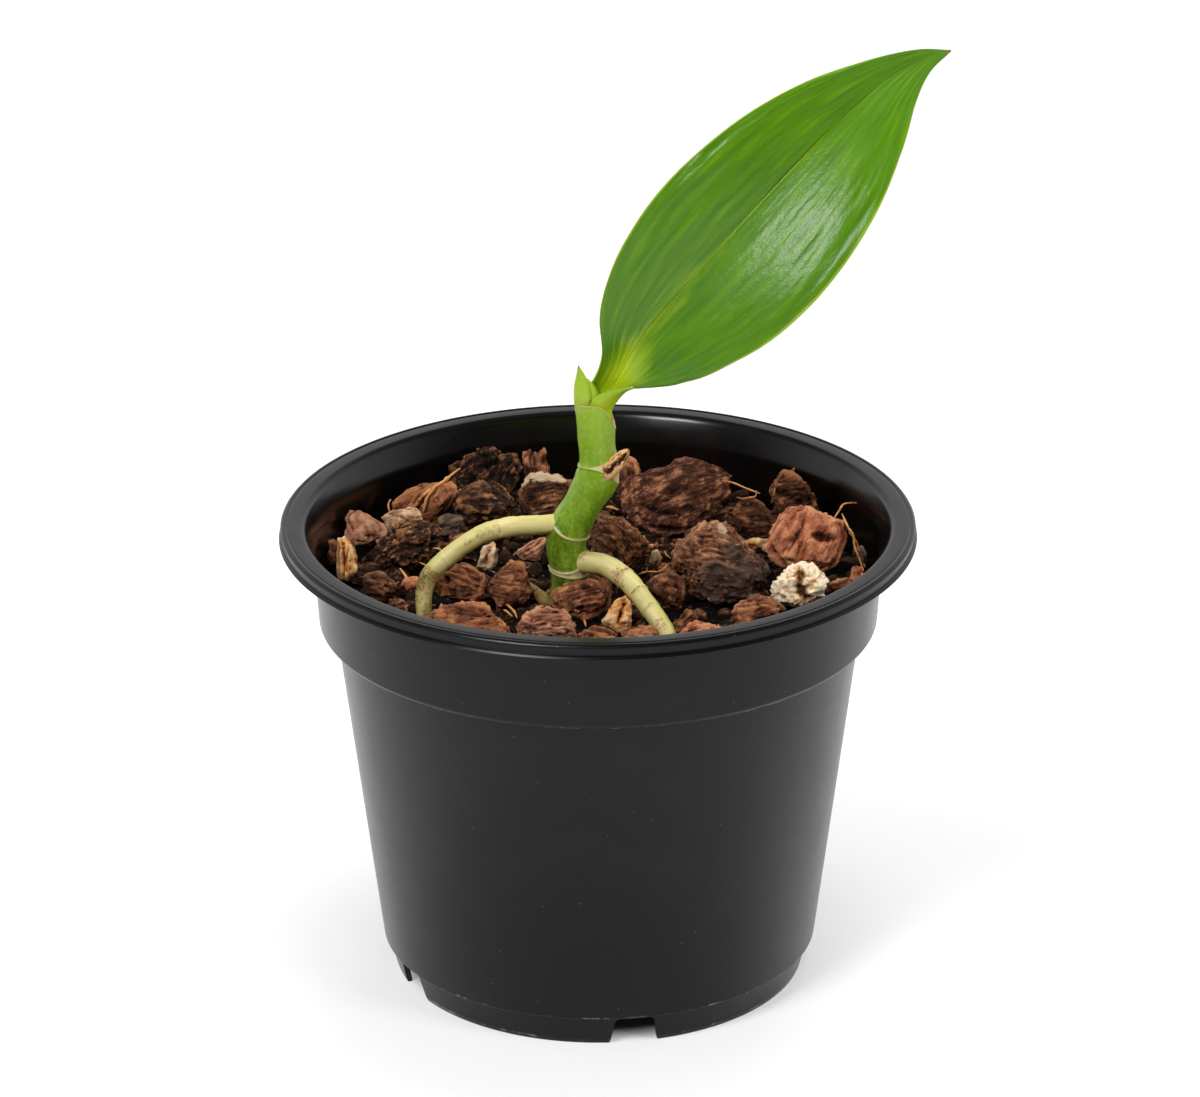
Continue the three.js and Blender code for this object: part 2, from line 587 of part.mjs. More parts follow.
    outline: [[-2, 1], [-0.5, 2.2], [1, 0.5], [0.8, -2.5], [-1.8, -2.5]],
  },
  {
    name: 'bark_dark_rim_left', colour: DARK_BROWN, at: [-58, 10, 93.6], tip: 26, thick: 4.5,
    outline: [[-1.5, 2.5], [0.5, 3.2], [1.4, 0], [1.4, -3], [-1, -3]],
  },
  {
    name: 'bark_orange_curl', colour: OCHRE, at: [-41.3, -6, 92.8], tip: 40, thick: 2.6,
    outline: [[-2.5, -1.2], [-1.5, 1], [0.5, 1.6], [2.6, 1], [2, -1.6], [-0.5, -2.2]],
  },
  {
    name: 'bark_small_left', colour: DARK_BROWN, at: [-44, -21, 93.4], tip: 40, thick: 5,
    outline: [[-2.5, 0], [-1, 2], [2, 1.5], [2.5, -1], [0, -2.6], [-2, -2]],
  },
  // The band along the front wall, which the rim hides from the viewer
  {
    name: 'bark_front_band_1', colour: RED_BROWN, at: [-47, -31, 92.6], tip: 55, turn: 35, thick: 6,
    outline: [[-4, -1], [-2.5, 2.5], [1.5, 3], [4, 0.5], [3, -3], [-2, -3.2]],
  },
  {
    name: 'bark_front_band_2', colour: DARK_BROWN, at: [-36.5, -43, 92.6], tip: 60, turn: 15, thick: 6,
    outline: [[-4.5, 0], [-3, 3], [1, 4], [4.5, 1.5], [3.5, -3], [-1, -4]],
  },
  {
    name: 'bark_front_band_3', colour: MAUVE_BROWN, at: [-23.5, -47.5, 92.8], tip: 65, turn: -10, thick: 6.5,
    outline: [[-5.5, -1], [-4, 3], [0, 4], [4.5, 3], [5.5, -0.5], [2, -3.5], [-3, -3.5]],
  },
  {
    name: 'bark_front_band_4', colour: RED_BROWN, at: [-9.5, -50, 92.6], tip: 60, turn: 5, thick: 6,
    outline: [[-5, 0], [-3, 3.5], [2, 4], [5, 1], [4, -3], [-1, -4]],
  },
  {
    name: 'bark_front_band_5', colour: CHARCOAL, at: [4.5, -50.5, 92.8], tip: 60, turn: -15, thick: 6.5,
    outline: [[-5.5, 1], [-2, 4], [3, 3.5], [5.5, 0], [3, -3.5], [-3, -3.5]],
  },
  {
    name: 'bark_front_band_6', colour: RUST, at: [19, -48.5, 92.6], tip: 60, turn: 10, thick: 6,
    outline: [[-5, -0.5], [-3, 3], [1.5, 4], [5, 1.5], [4, -3], [-2, -3.8]],
  },
  {
    name: 'bark_front_band_7', colour: DARK_BROWN, at: [35, -41, 92.8], tip: 60, turn: -25, thick: 6,
    outline: [[-6, 0], [-3.5, 3.5], [2, 3.8], [6, 1], [4.5, -3], [-2, -4]],
  },
];

// A lump with one ring of points round its outline, a smaller ring in front and behind, and two blunt ends.
// Spread is a share of the outline, and depth a share of the thickness.
const RING_SPREAD = [0, 0.74, 1, 0.66, 0];
const RING_DEPTH = [0.5, 0.4, 0.05, -0.38, -0.5];

function chipGeometry(chip, extra) {
  const sides = chip.outline.length;
  const points = chip.outline.map(([right, up]) => new THREE.Vector2(right, up));
  points.sort((a, b) => b.angle() - a.angle());
  const geometry = new THREE.SphereGeometry(1, sides, 4);
  const position = geometry.attributes.position;
  const tip = THREE.MathUtils.degToRad(chip.tip);
  const turn = THREE.MathUtils.degToRad(chip.turn ?? 0);
  const right = new THREE.Vector3(Math.cos(turn), Math.sin(turn), 0);
  const front = new THREE.Vector3(Math.sin(turn), -Math.cos(turn), 0).multiplyScalar(Math.cos(tip));
  front.z = Math.sin(tip);
  const up = right.clone().cross(front).negate();
  for (let i = 0; i < position.count; i += 1) {
    const ring = Math.floor(i / (sides + 1));
    const side = (i % (sides + 1)) % sides;
    const spread = RING_SPREAD[ring];
    const depth = RING_DEPTH[ring];
    const corner = points[side];
    const reach = spread * (1 + extra / corner.length());
    const point = new THREE.Vector3(...chip.at);
    point.addScaledVector(right, corner.x * reach);
    point.addScaledVector(up, corner.y * reach);
    point.addScaledVector(front, depth * (chip.thick + 2 * extra));
    position.setXYZ(i, point.x, point.y, point.z);
  }
  return outward(geometry);
}

// The bed: everything under the surface chips. Its top undulates and rises towards the back wall.
function bedTopAt(x, y) {
  const rise = (BED_BACK_RISE * Math.max(0, y)) / COLLAR_BOTTOM_RADIUS;
  return BED_TOP + rise + BED_BUMP * Math.sin(x * 0.31 + 1) * Math.cos(y * 0.27);
}

function makeBedBlank() {
  const topRings = [54, 48, 34, 19, 0].map((radius) => [radius, BED_TOP]);
  const geometry = turned([...fillProfile(BED_TOP), ...topRings], BED_SIDES);
  const position = geometry.attributes.position;
  for (let i = 0; i < position.count; i += 1) {
    const [x, y] = [position.getX(i), position.getY(i)];
    if (position.getZ(i) > BED_TOP - 0.5) position.setZ(i, bedTopAt(x, y));
  }
  return solid(geometry);
}

function material(colour, roughness) {
  return new THREE.MeshStandardMaterial({ color: colour, roughness, metalness: 0 });
}

const part = new THREE.Group();
const contents = new THREE.Group();
part.add(contents);

function addNode(name, body, colour, roughness) {
  const mesh = new THREE.Mesh(geometryOf(body), material(colour, roughness));
  mesh.name = name;
  contents.add(mesh);
}

addNode('pot', makePot(), BLACK_PLASTIC, 0.45);

// The plant, each piece a gap clear of the one that carries it
const leafRoom = makeLeaf(GAP);
const stem = largest(makeStem().subtract(leafRoom));
const stemRoom = makeStem(GAP);
addNode('stem', stem, STEM_GREEN, 0.4);
addNode('leaf', makeLeaf(), LEAF_GREEN, 0.32);
const shoot = largest(makeShoot().subtract(stemRoom).subtract(leafRoom));
addNode('young_shoot', shoot, SHOOT_GREEN, 0.4);
const stub = largest(makeStub().subtract(stemRoom));
addNode('dried_stub', stub, DRIED_BROWN, 0.8);
const plantRooms = [stemRoom];
for (const name of Object.keys(ROOTS)) {
  const root = largest(makeRoot(name).subtract(stemRoom));
  addNode(name, root, name === 'foot_root' ? ROOT_OLIVE : ROOT_PALE, 0.5);
  plantRooms.push(makeRoot(name, GAP));
}

// The chips, each cut back from the wall, the plant and the chips before it
let bed = makeBedBlank();
const chipTop = POT_HEIGHT + 5;
const chipSpace = solid(turned([...fillProfile(chipTop), [0, chipTop]], BED_SIDES));
const taken = [...plantRooms];
for (const chip of CHIPS) {
  let body = solid(chipGeometry(chip, 0)).intersect(chipSpace);
  for (const room of taken) body = body.subtract(room);
  addNode(chip.name, largest(body), chip.colour, 0.9);
  taken.push(solid(chipGeometry(chip, GAP)));
}
for (const room of taken) bed = bed.subtract(room);
addNode('bark_bed', largest(bed), SHADED_BARK, 1);

// The leaf tip hangs out past the rim. The origin is under the middle of the whole outline.
const middle = new THREE.Box3().setFromObject(contents).getCenter(new THREE.Vector3());
contents.position.set(-middle.x, -middle.y, 0);

export default part;
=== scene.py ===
import math
import random

import bmesh
import bpy
import numpy as np
from mathutils import Matrix, Vector, noise
from mathutils.bvhtree import BVHTree


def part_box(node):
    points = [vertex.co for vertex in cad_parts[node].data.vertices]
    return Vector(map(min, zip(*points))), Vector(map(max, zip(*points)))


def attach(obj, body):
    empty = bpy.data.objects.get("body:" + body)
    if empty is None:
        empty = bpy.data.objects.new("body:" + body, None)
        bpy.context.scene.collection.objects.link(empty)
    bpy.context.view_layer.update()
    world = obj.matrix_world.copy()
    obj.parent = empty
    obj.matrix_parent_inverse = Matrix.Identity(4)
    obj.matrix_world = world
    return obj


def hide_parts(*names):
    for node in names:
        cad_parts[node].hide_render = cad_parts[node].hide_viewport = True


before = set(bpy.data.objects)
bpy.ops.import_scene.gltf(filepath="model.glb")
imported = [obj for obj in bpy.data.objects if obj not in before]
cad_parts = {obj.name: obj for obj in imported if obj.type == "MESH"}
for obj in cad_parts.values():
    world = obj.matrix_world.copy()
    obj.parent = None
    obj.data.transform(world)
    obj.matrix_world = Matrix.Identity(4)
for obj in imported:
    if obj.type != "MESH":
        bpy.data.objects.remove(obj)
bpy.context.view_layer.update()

MM = 0.001
pot_low, pot_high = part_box("pot")
AXIS = np.array([(pot_low.x + pot_high.x) / 2, (pot_low.y + pot_high.y) / 2, 0])

# The camera, as the photograph was taken: 1.36 m away, looking down by 23 degrees
CAMERA_PLACE = (0, -1215.8, 607.2)
CAMERA_PITCH = math.radians(22.71)
CAMERA_YAW = -0.00035
CAMERA_ROLL = -0.00309
CAMERA_LENS = 180
TO_VIEWER = np.array([0, -0.92, 0.39])

# Vector noise is offset by the library's random seed, so a set seed gives the same chips each time
noise.seed_set(1)


# Small helpers


def linear(colour):
    """Turns an sRGB hex colour into the linear RGBA that the shaders take."""
    channels = [int(colour[i : i + 2], 16) / 255 for i in (1, 3, 5)]
    return (*[c / 12.92 if c <= 0.04045 else ((c + 0.055) / 1.055) ** 2.4 for c in channels], 1)


def smoothstep(low, high, values):
    """Eases from 0 at low to 1 at high."""
    share = np.clip((values - low) / (high - low), 0, 1)
    return share * share * (3 - 2 * share)


def smooth_route(points, count):
    """Runs a smooth line through the points and gives places at equal steps along it."""
    p = np.array(points, float)
    p = np.vstack([2 * p[0] - p[1], p, 2 * p[-1] - p[-2]])
    steps_a_stretch = 30
    t = np.linspace(0, 1, steps_a_stretch, endpoint=False)[:, None]
    stretches = []
    for a, b, c, d in zip(p, p[1:], p[2:], p[3:]):
        before, between, after = (np.linalg.norm(v) ** 0.5 for v in (b - a, c - b, d - c))
        leaving = ((b - a) / before - (c - a) / (before + between) + (c - b) / between) * between
        arriving = ((c - b) / between - (d - b) / (between + after) + (d - c) / after) * between
        held = (2 * t**3 - 3 * t**2 + 1) * b + (3 * t**2 - 2 * t**3) * c
        stretches.append(held + (t**3 - 2 * t**2 + t) * leaving + (t**3 - t**2) * arriving)
    line = np.vstack([*stretches, p[-2]])
    lengths = np.concatenate([[0], np.cumsum(np.linalg.norm(np.diff(line, axis=0), axis=1))])
    steps = np.linspace(0, lengths[-1], count)
    return np.column_stack([np.interp(steps, lengths, line[:, k]) for k in range(3)])


def smooth_values(pairs, places):
    """Reads a smooth curve through [place, value] pairs at any places."""
    x, y = np.array(pairs, float).T
    slopes = np.gradient(y, x)
    i = np.clip(np.searchsorted(x, places, side="right") - 1, 0, len(x) - 2)
    step = x[i + 1] - x[i]
    t = np.clip((places - x[i]) / step, 0, 1)
    held = (2 * t**3 - 3 * t**2 + 1) * y[i] + (3 * t**2 - 2 * t**3) * y[i + 1]
    return held + ((t**3 - 2 * t**2 + t) * slopes[i] + (t**3 - t**2) * slopes[i + 1]) * step


def read_noise(kind, places, *settings):
    """Reads one of the library's noises at every place, given in the noise's own units."""
    return np.array([kind(place, *settings) for place in np.asarray(places, float).tolist()])


def unit(vectors):
    return vectors / np.linalg.norm(vectors, axis=-1, keepdims=True)


def grid_faces(rows, columns, closed=False):
    """Quads over a grid of points, row after row. A closed grid joins its last column to its first."""
    across = columns if closed else columns - 1
    i, j = np.meshgrid(np.arange(rows - 1), np.arange(across), indexing="ij")
    k = (j + 1) % columns
    corners = [i * columns + j, i * columns + k, (i + 1) * columns + k, (i + 1) * columns + j]
    return np.stack(corners, axis=-1).reshape(-1, 4).tolist()


def closed_rings(rings):
    """Joins rings of points into a closed skin, with one more point at the middle of each end."""
    rows, sides, _ = rings.shape
    points = np.vstack([rings.reshape(-1, 3), rings[0].mean(0), rings[-1].mean(0)])
    faces = grid_faces(rows, sides, closed=True)
    first, last = rows * sides, rows * sides + 1
    top = (rows - 1) * sides
    for j in range(sides):
        k = (j + 1) % sides
        faces += [[first, k, j], [last, top + j, top + k]]
    return points, faces


def at_ends(values):
    """Gives a grid of values the two more entries that the end points of closed rings need."""
    return np.concatenate([values.reshape(-1), [values[0].mean(), values[-1].mean()]])


def join_shells(shells):
    """Puts separate [points, faces] shells into one mesh."""
    all_points, all_faces = [], []
    offset = 0
    for points, faces in shells:
        all_points.append(points)
        all_faces += [[k + offset for k in face] for face in faces]
        offset += len(points)
    return np.vstack(all_points), all_faces


def add_piece(name, points, faces, materials, replaces=(), marks=None):
    """Makes one piece from millimetre points round the pot's axis and hangs it on the frame. Marks are
    values at the points that its materials read."""
    mesh = bpy.data.meshes.new(name)
    mesh.from_pydata((np.asarray(points) * MM + AXIS).tolist(), [], faces)
    for mark, values in (marks or {}).items():
        values = np.asarray(values, np.float32)
        kind, field = ("FLOAT", "value") if values.ndim == 1 else ("FLOAT_VECTOR", "vector")
        mesh.attributes.new(mark, kind, "POINT").data.foreach_set(field, values.ravel())
    mesh.shade_smooth()
    for material in materials:
        mesh.materials.append(material)
    piece = bpy.data.objects.new(name, mesh)
    bpy.context.scene.collection.objects.link(piece)
    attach(piece, "root")
    if replaces:
        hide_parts(*replaces)
    return piece


# Materials

# A Mix node's inputs 6 and 7 take its two colours, and its output 2 gives the colour between them
COLOUR_MIX = {"data_type": "RGBA", "output": 2}


def new_material(name):
    material = bpy.data.materials.new(name)
    material.use_nodes = True
    material.node_tree.nodes.clear()
    return material, material.node_tree


def add(tree, kind, inputs=None, output=0, stops=None, **settings):
    """Adds a shader node, sets it up, fills or links its inputs, and returns one of its outputs. Colours
    are given as sRGB hex texts."""
    node = tree.nodes.new("ShaderNode" + kind)
    for key, value in settings.items():
        setattr(node, key, value)
    for i, (place, colour) in enumerate(stops or []):
        ramp = node.color_ramp.elements
        element = ramp[i] if i < 2 else ramp.new(place)
        element.position = place
        element.color = linear(colour)
    for key, value in (inputs or {}).items():
        if isinstance(value, bpy.types.NodeSocket):
            tree.links.new(value, node.inputs[key])
        else:
            node.inputs[key].default_value = linear(value) if isinstance(value, str) else value
    return node.outputs[output] if len(node.outputs) else node


def finish_material(material, **surface):
    """Ends a material in its surface shader and returns it."""
    tree = material.node_tree
    shader = add(tree, "BsdfPrincipled", {key.replace("_", " "): value for key, value in surface.items()})
    add(tree, "OutputMaterial", {"Surface": shader})
    return material


def per_mm(size):
    """The scale of a texture read in metres whose features are that many millimetres wide."""
    return 1 / (size * MM)


# Heights of the pot's edges that rub against other pots, each with half the width of its worn line, in mm
WORN_EDGES = [(0.9, 0.3), (7.5, 0.15), (82.6, 0.08)]


def moulded_polypropylene(name, base, dust_colour, dust_share, specular, roughness):
    """Black injection-moulded polypropylene: satin, faintly mottled where the mould's spark finish is
    uneven, with pale rubbed specks, a little dust, and edges worn pale in broken lines."""
    material, tree = new_material(name)
    place = add(tree, "TexCoord", output="Object")
    mottle = add(tree, "TexNoise", {"Vector": place, "Scale": per_mm(9), "Detail": 5.0})
    grit = add(tree, "TexNoise", {"Vector": place, "Scale": per_mm(0.5), "Detail": 3.0})
    specks = add(tree, "TexVoronoi", {"Vector": place, "Scale": per_mm(4)}, output="Distance")
    specks = add(tree, "MapRange", {"Value": specks, "From Min": 0.06, "From Max": 0.03, "To Max": 0.5})
    clouds = add(tree, "TexNoise", {"Vector": place, "Scale": per_mm(14), "Detail": 9.0})
    clouds = add(tree, "MapRange",
                 {"Value": clouds, "From Min": 0.52, "From Max": 0.75, "To Max": dust_share})
    dusty = add(tree, "Math", {0: specks, 1: clouds}, operation="MAXIMUM")
    colour = add(tree, "Mix", {0: dusty, 6: base, 7: dust_colour}, **COLOUR_MIX)
    height = add(tree, "SeparateXYZ", {"Vector": place}, output="Z")
    nicks = add(tree, "TexNoise", {"Vector": place, "Scale": per_mm(5), "Detail": 8.0, "Roughness": 0.7})
    nicks = add(tree, "MapRange", {"Value": nicks, "From Min": 0.52, "From Max": 0.62, "To Max": 0.4})
    for edge, reach in WORN_EDGES:
        worn = add(tree, "Math", {0: height, 1: edge * MM, 2: reach * MM}, operation="COMPARE")
        worn = add(tree, "Math", {0: worn, 1: nicks}, operation="MULTIPLY")
        colour = add(tree, "Mix", {0: worn, 6: colour, 7: "#a3a09c"}, **COLOUR_MIX)
    rough = add(tree, "MapRange", {"Value": mottle, "To Min": roughness - 0.04, "To Max": roughness + 0.05})
    bump = add(tree, "Bump", {"Height": grit, "Strength": 0.08, "Distance": 0.05 * MM})
    return finish_material(material, Base_Color=colour, Roughness=rough, Normal=bump, IOR=1.49,
                           Specular_IOR_Level=specular)


def pine_bark(name, crevice_shade, face, ridge_highlight, fleck, second, second_share, streak):
    """Aged pine bark: matt corky plates in thin layers, painted near black in the crevices as shade and
    painted lighter on the ridges as highlights, finely streaked along the fibre, with flecks of the paler
    inner bark and patches of a second colour. Its grain is read in mm, so a scale of 2.3 gives grit of
    about 0.4 mm."""
    material, tree = new_material(name)
    place = add(tree, "Attribute", output="Vector", attribute_name="grain")
    relief, patch, crust = (add(tree, "Attribute", output="Fac", attribute_name=mark)
                            for mark in ("relief", "patch", "crust"))
    along_fibre = add(tree, "Mapping", {"Vector": place, "Scale": (0.35, 2.2, 2.2)})
    fibres = add(tree, "TexNoise", {"Vector": along_fibre, "Scale": 1.0, "Detail": 6.0, "Roughness": 0.75})
    fibres = add(tree, "MapRange", {"Value": fibres, "From Min": 0.3, "From Max": 0.7})
    grit = add(tree, "TexNoise", {"Vector": place, "Scale": 2.3, "Detail": 6.0, "Roughness": 0.8})
    grit = add(tree, "MapRange", {"Value": grit, "From Min": 0.32, "From Max": 0.68})
    split = add(tree, "Mapping", {"Vector": place, "Scale": (0.25, 0.7, 0.7)})
    wander = add(tree, "TexNoise", {"Vector": split, "Scale": 2.0, "Detail": 3.0}, output="Color")
    split = add(tree, "VectorMath", {0: wander, 1: (0.7, 0.7, 0.7), 2: split}, operation="MULTIPLY_ADD")
    cracks = add(tree, "TexVoronoi", {"Vector": split, "Scale": 1.0}, output="Distance",
                 feature="DISTANCE_TO_EDGE")
    cracks = add(tree, "MapRange", {"Value": cracks, "From Min": 0.0, "From Max": 0.07})
    # The tone starts from the relief, which paints shade in the crevices and hollows and highlights on the
    # ridges, and adds the bark's own fibres, grit and cracks
    tone = relief
    for layer, share in ((fibres, 0.6 * streak), (grit, 0.6 - 0.6 * streak), (cracks, 0.3 * streak)):
        tone = add(tree, "Math", {0: layer, 1: share, 2: tone}, operation="MULTIPLY_ADD")
    darkest, lightest = 0.2 + 0.3 * streak, 1.08 + 0.3 * streak
    tone = add(tree, "MapRange", {"Value": tone, "From Min": darkest, "From Max": lightest})
    colour = add(tree, "ValToRGB", {"Fac": tone},
                 stops=[(0.14, crevice_shade), (0.98, fleck), (0.42, face), (0.75, ridge_highlight)])
    # The second colour follows the same tone, so it too has painted shade in the crevices and painted
    # highlights on the ridges
    shade = add(tree, "MapRange", {"Value": tone, "From Min": 0.1, "To Min": 0.08, "To Max": 1.7})
    other = add(tree, "VectorMath", {0: linear(second)[:3], "Scale": shade}, operation="SCALE")
    patches = add(tree, "TexNoise", {"Vector": place, "Scale": 1 / 5, "Detail": 6.0})
    patches = add(tree, "Math", {0: patches, 1: patch}, operation="ADD")
    patches = add(tree, "MapRange",
                  {"Value": patches, "From Min": 0.5, "From Max": 0.62, "To Max": second_share})
    patches = add(tree, "Math", {0: patches, 1: patch}, operation="MAXIMUM", use_clamp=True)
    cells = {"Vector": place, "Scale": 1 / 2.4}
    fleck_distance = add(tree, "TexVoronoi", cells, output="Distance")
    fleck_colour = add(tree, "TexVoronoi", cells, output="Color")
    chosen = add(tree, "Math", {0: fleck_colour, 1: 0.68}, operation="GREATER_THAN")
    spot = add(tree, "MapRange",
               {"Value": fleck_distance, "From Min": 0.17, "From Max": 0.1, "To Max": 0.9})
    spot = add(tree, "Math", {0: spot, 1: chosen}, operation="MULTIPLY")
    crust_edge = add(tree, "Math", {0: crust, 1: fibres}, operation="ADD")
    crust_edge = add(tree, "MapRange", {"Value": crust_edge, "From Min": 0.82, "From Max": 0.95})
    for share, tint in ((patches, other), (spot, fleck), (crust_edge, "#cdb090")):
        colour = add(tree, "Mix", {0: share, 6: colour, 7: tint}, **COLOUR_MIX)
    height = 0.0
    for layer, share in ((cracks, 0.4), (fibres, 0.7 * streak), (grit, 1.2 - 0.7 * streak)):
        height = add(tree, "Math", {0: layer, 1: share, 2: height}, operation="MULTIPLY_ADD")
    bump = add(tree, "Bump", {"Height": height, "Strength": 1.0, "Distance": 0.3 * MM})
    return finish_material(material, Base_Color=colour, Roughness=0.8, Normal=bump, IOR=1.5,
                           Specular_IOR_Level=0.16)


def pumice_stone():
    """Pumice: a matt, chalky cream foam of glass, with brown bark tannin caught in its pits."""
    material, tree = new_material("pumice_stone")
    place = add(tree, "Attribute", output="Vector", attribute_name="grain")
    relief = add(tree, "Attribute", output="Fac", attribute_name="relief")
    stains = add(tree, "TexNoise", {"Vector": place, "Scale": 1 / 2.5, "Detail": 6.0, "Roughness": 0.7})
    pores = add(tree, "TexVoronoi", {"Vector": place, "Scale": 1 / 0.7}, output="Distance")
    tone = add(tree, "Math", {0: relief, 1: stains}, operation="ADD")
    colour = add(tree, "ValToRGB", {"Fac": tone},
                 stops=[(0.5, "#3c2210"), (1.3, "#e6d2b4"), (0.68, "#9c6c40"), (0.86, "#d2aa7e")])
    bump = add(tree, "Bump", {"Height": pores, "Strength": 0.7, "Distance": 0.3 * MM})
    return finish_material(material, Base_Color=colour, Roughness=0.9, Normal=bump, IOR=1.5,
                           Specular_IOR_Level=0.3)


def leaf_cuticle():
    """The leaf: a waxy cuticle over thick deep green flesh, yellow-green towards the base, along the midrib
    and in a fine line along the margin, paler underneath, with lighter veins that run from base to tip."""
    material, tree = new_material("leaf_cuticle")
    place = add(tree, "TexCoord", output="Object")
    along, across, young, under = (add(tree, "Attribute", output="Fac", attribute_name=mark)
                                   for mark in ("along", "across", "young", "under"))
    veined = add(tree, "Attribute", output="Vector", attribute_name="blade")
    streaks = add(tree, "TexNoise", {"Vector": veined, "Scale": 1.0, "Detail": 4.0})
    pale = add(tree, "Math", {0: streaks, 1: 0.5, 2: young}, operation="MULTIPLY_ADD")
    pale = add(tree, "MapRange", {"Value": pale, "From Min": 0.3, "From Max": 1.3})
    edge = add(tree, "Math", {0: across}, operation="ABSOLUTE")
    edge = add(tree, "MapRange", {"Value": edge, "From Min": 0.972, "From Max": 0.998, "To Max": 0.75})
    tip = add(tree, "MapRange", {"Value": along, "From Min": 0.985, "From Max": 1.0})
    colour = add(tree, "ValToRGB", {"Fac": streaks}, stops=[(0.3, "#3d6906"), (0.75, "#548206")])
    for share, tint in ((under, "#7b9a2c"), (pale, "#bbd11c"), (edge, "#a8ba3e"), (tip, "#8a5a2b")):
        colour = add(tree, "Mix", {0: share, 6: colour, 7: tint}, **COLOUR_MIX)
    cells = add(tree, "TexNoise", {"Vector": place, "Scale": per_mm(0.45), "Detail": 2.0})
    puckers = add(tree, "Mapping", {"Vector": veined, "Scale": (7.0, 1.2, 1.0)})
    puckers = add(tree, "TexNoise", {"Vector": puckers, "Scale": 1.0, "Detail": 3.0})
    height = add(tree, "TexNoise", {"Vector": veined, "Scale": 0.6, "Detail": 2.0})
    for layer, share in ((puckers, 0.4), (cells, 0.12)):
        height = add(tree, "Math", {0: layer, 1: share, 2: height}, operation="MULTIPLY_ADD")
    bump = add(tree, "Bump", {"Height": height, "Strength": 0.5, "Distance": 0.5 * MM})
    rough = add(tree, "MapRange", {"Value": cells, "To Min": 0.27, "To Max": 0.37})
    return finish_material(material, Base_Color=colour, Roughness=rough, Normal=bump, IOR=1.45,
                           Specular_IOR_Level=0.38)


def green_stem_skin(name, stops, scar_colour):
    """A succulent green stem: smooth waxy skin, finely mottled with paler cells, and dry cream
    skin on the rings of the nodes."""
    material, tree = new_material(name)
    place = add(tree, "TexCoord", output="Object")
    along, scar = (add(tree, "Attribute", output="Fac", attribute_name=mark) for mark in ("along", "scar"))
    upright = add(tree, "Mapping", {"Vector": place, "Scale": (1.0, 1.0, 0.22)})
    clouds = add(tree, "TexNoise",
                 {"Vector": upright, "Scale": per_mm(1.8), "Detail": 5.0, "Roughness": 0.65})
    clouds = add(tree, "MapRange", {"Value": clouds, "From Min": 0.38, "From Max": 0.7, "To Max": 0.6})
    cells = add(tree, "TexNoise",
                {"Vector": place, "Scale": per_mm(0.8), "Detail": 4.0, "Roughness": 0.75})
    pale = add(tree, "MapRange", {"Value": cells, "From Min": 0.5, "From Max": 0.72, "To Max": 0.42})
    ragged = add(tree, "Math", {0: cells, 1: 0.3, 2: scar}, operation="MULTIPLY_ADD")
    ragged = add(tree, "MapRange", {"Value": ragged, "From Min": 0.5, "From Max": 0.8})
    dry = add(tree, "Mix", {0: clouds, 6: scar_colour, 7: "#8f7a48"}, **COLOUR_MIX)
    colour = add(tree, "ValToRGB", {"Fac": along}, stops=stops)
    for share, tint in ((clouds, "#93b428"), (pale, "#b4c86a"), (ragged, dry)):
        colour = add(tree, "Mix", {0: share, 6: colour, 7: tint}, **COLOUR_MIX)
    rough = add(tree, "MapRange", {"Value": ragged, "To Min": 0.3, "To Max": 0.65})
    bump = add(tree, "Bump", {"Height": cells, "Strength": 0.25, "Distance": 0.15 * MM})
    return finish_material(material, Base_Color=colour, Roughness=rough, Normal=bump, IOR=1.42,
                           Specular_IOR_Level=0.45, Subsurface_Weight=0.04, Subsurface_Scale=1.5 * MM)


def velamen_skin(name, base, shade, stain_colour, dirt_colour):
    """Velamen, the spongy skin of an aerial root: pale and waxy on its front, with painted shade that turns
    it greener towards its back, faintly striped along its length, with scuffed brown corky patches where it
    was bruised and dark dirt where it touches the bark."""
    material, tree = new_material(name)
    place = add(tree, "Attribute", output="Vector", attribute_name="skin")
    stain, dirt = (add(tree, "Attribute", output="Fac", attribute_name=mark) for mark in ("stain", "dirt"))
    lengthwise = add(tree, "Mapping", {"Vector": place, "Scale": (0.1, 0.7, 0.7)})
    streaks = add(tree, "TexNoise", {"Vector": lengthwise, "Scale": 1.0, "Detail": 5.0})
    streaks = add(tree, "MapRange", {"Value": streaks, "From Min": 0.35, "From Max": 0.68})
    # Painted shade: towards the back of the root, away from its front, the skin turns to the shade colour,
    # which its stripes share
    back = add(tree, "SeparateXYZ", {"Vector": place}, output="Y")
    back = add(tree, "MapRange", {"Value": back, "From Min": 2.0, "From Max": 0.4, "To Max": 0.6})
    shaded = add(tree, "Math", {0: streaks, 1: 0.55, 2: back}, operation="MULTIPLY_ADD", use_clamp=True)
    soiled = add(tree, "Math", {0: dirt, 1: 0.6}, operation="MULTIPLY")
    scuffs = add(tree, "TexNoise",
                 {"Vector": place, "Scale": 1.5, "Detail": 6.0, "Roughness": 0.75, "Distortion": 0.6})
    layers = [(shaded, shade), (soiled, "#a87f42")]
    for mark, mark_colour in ((stain, stain_colour), (dirt, dirt_colour)):
        edge = add(tree, "Math", {0: scuffs, 1: 2.2, 2: mark}, operation="MULTIPLY_ADD")
        edge = add(tree, "MapRange", {"Value": edge, "From Min": 1.75, "From Max": 2.15, "To Max": 0.92})
        layers.append((edge, mark_colour))
    colour = base
    for share, tint in layers:
        colour = add(tree, "Mix", {0: share, 6: colour, 7: tint}, **COLOUR_MIX)
    bump = add(tree, "Bump", {"Height": scuffs, "Strength": 0.3, "Distance": 0.2 * MM})
    return finish_material(material, Base_Color=colour, Roughness=0.42, Normal=bump, IOR=1.42,
                           Subsurface_Weight=0.12, Subsurface_Scale=1.5 * MM)


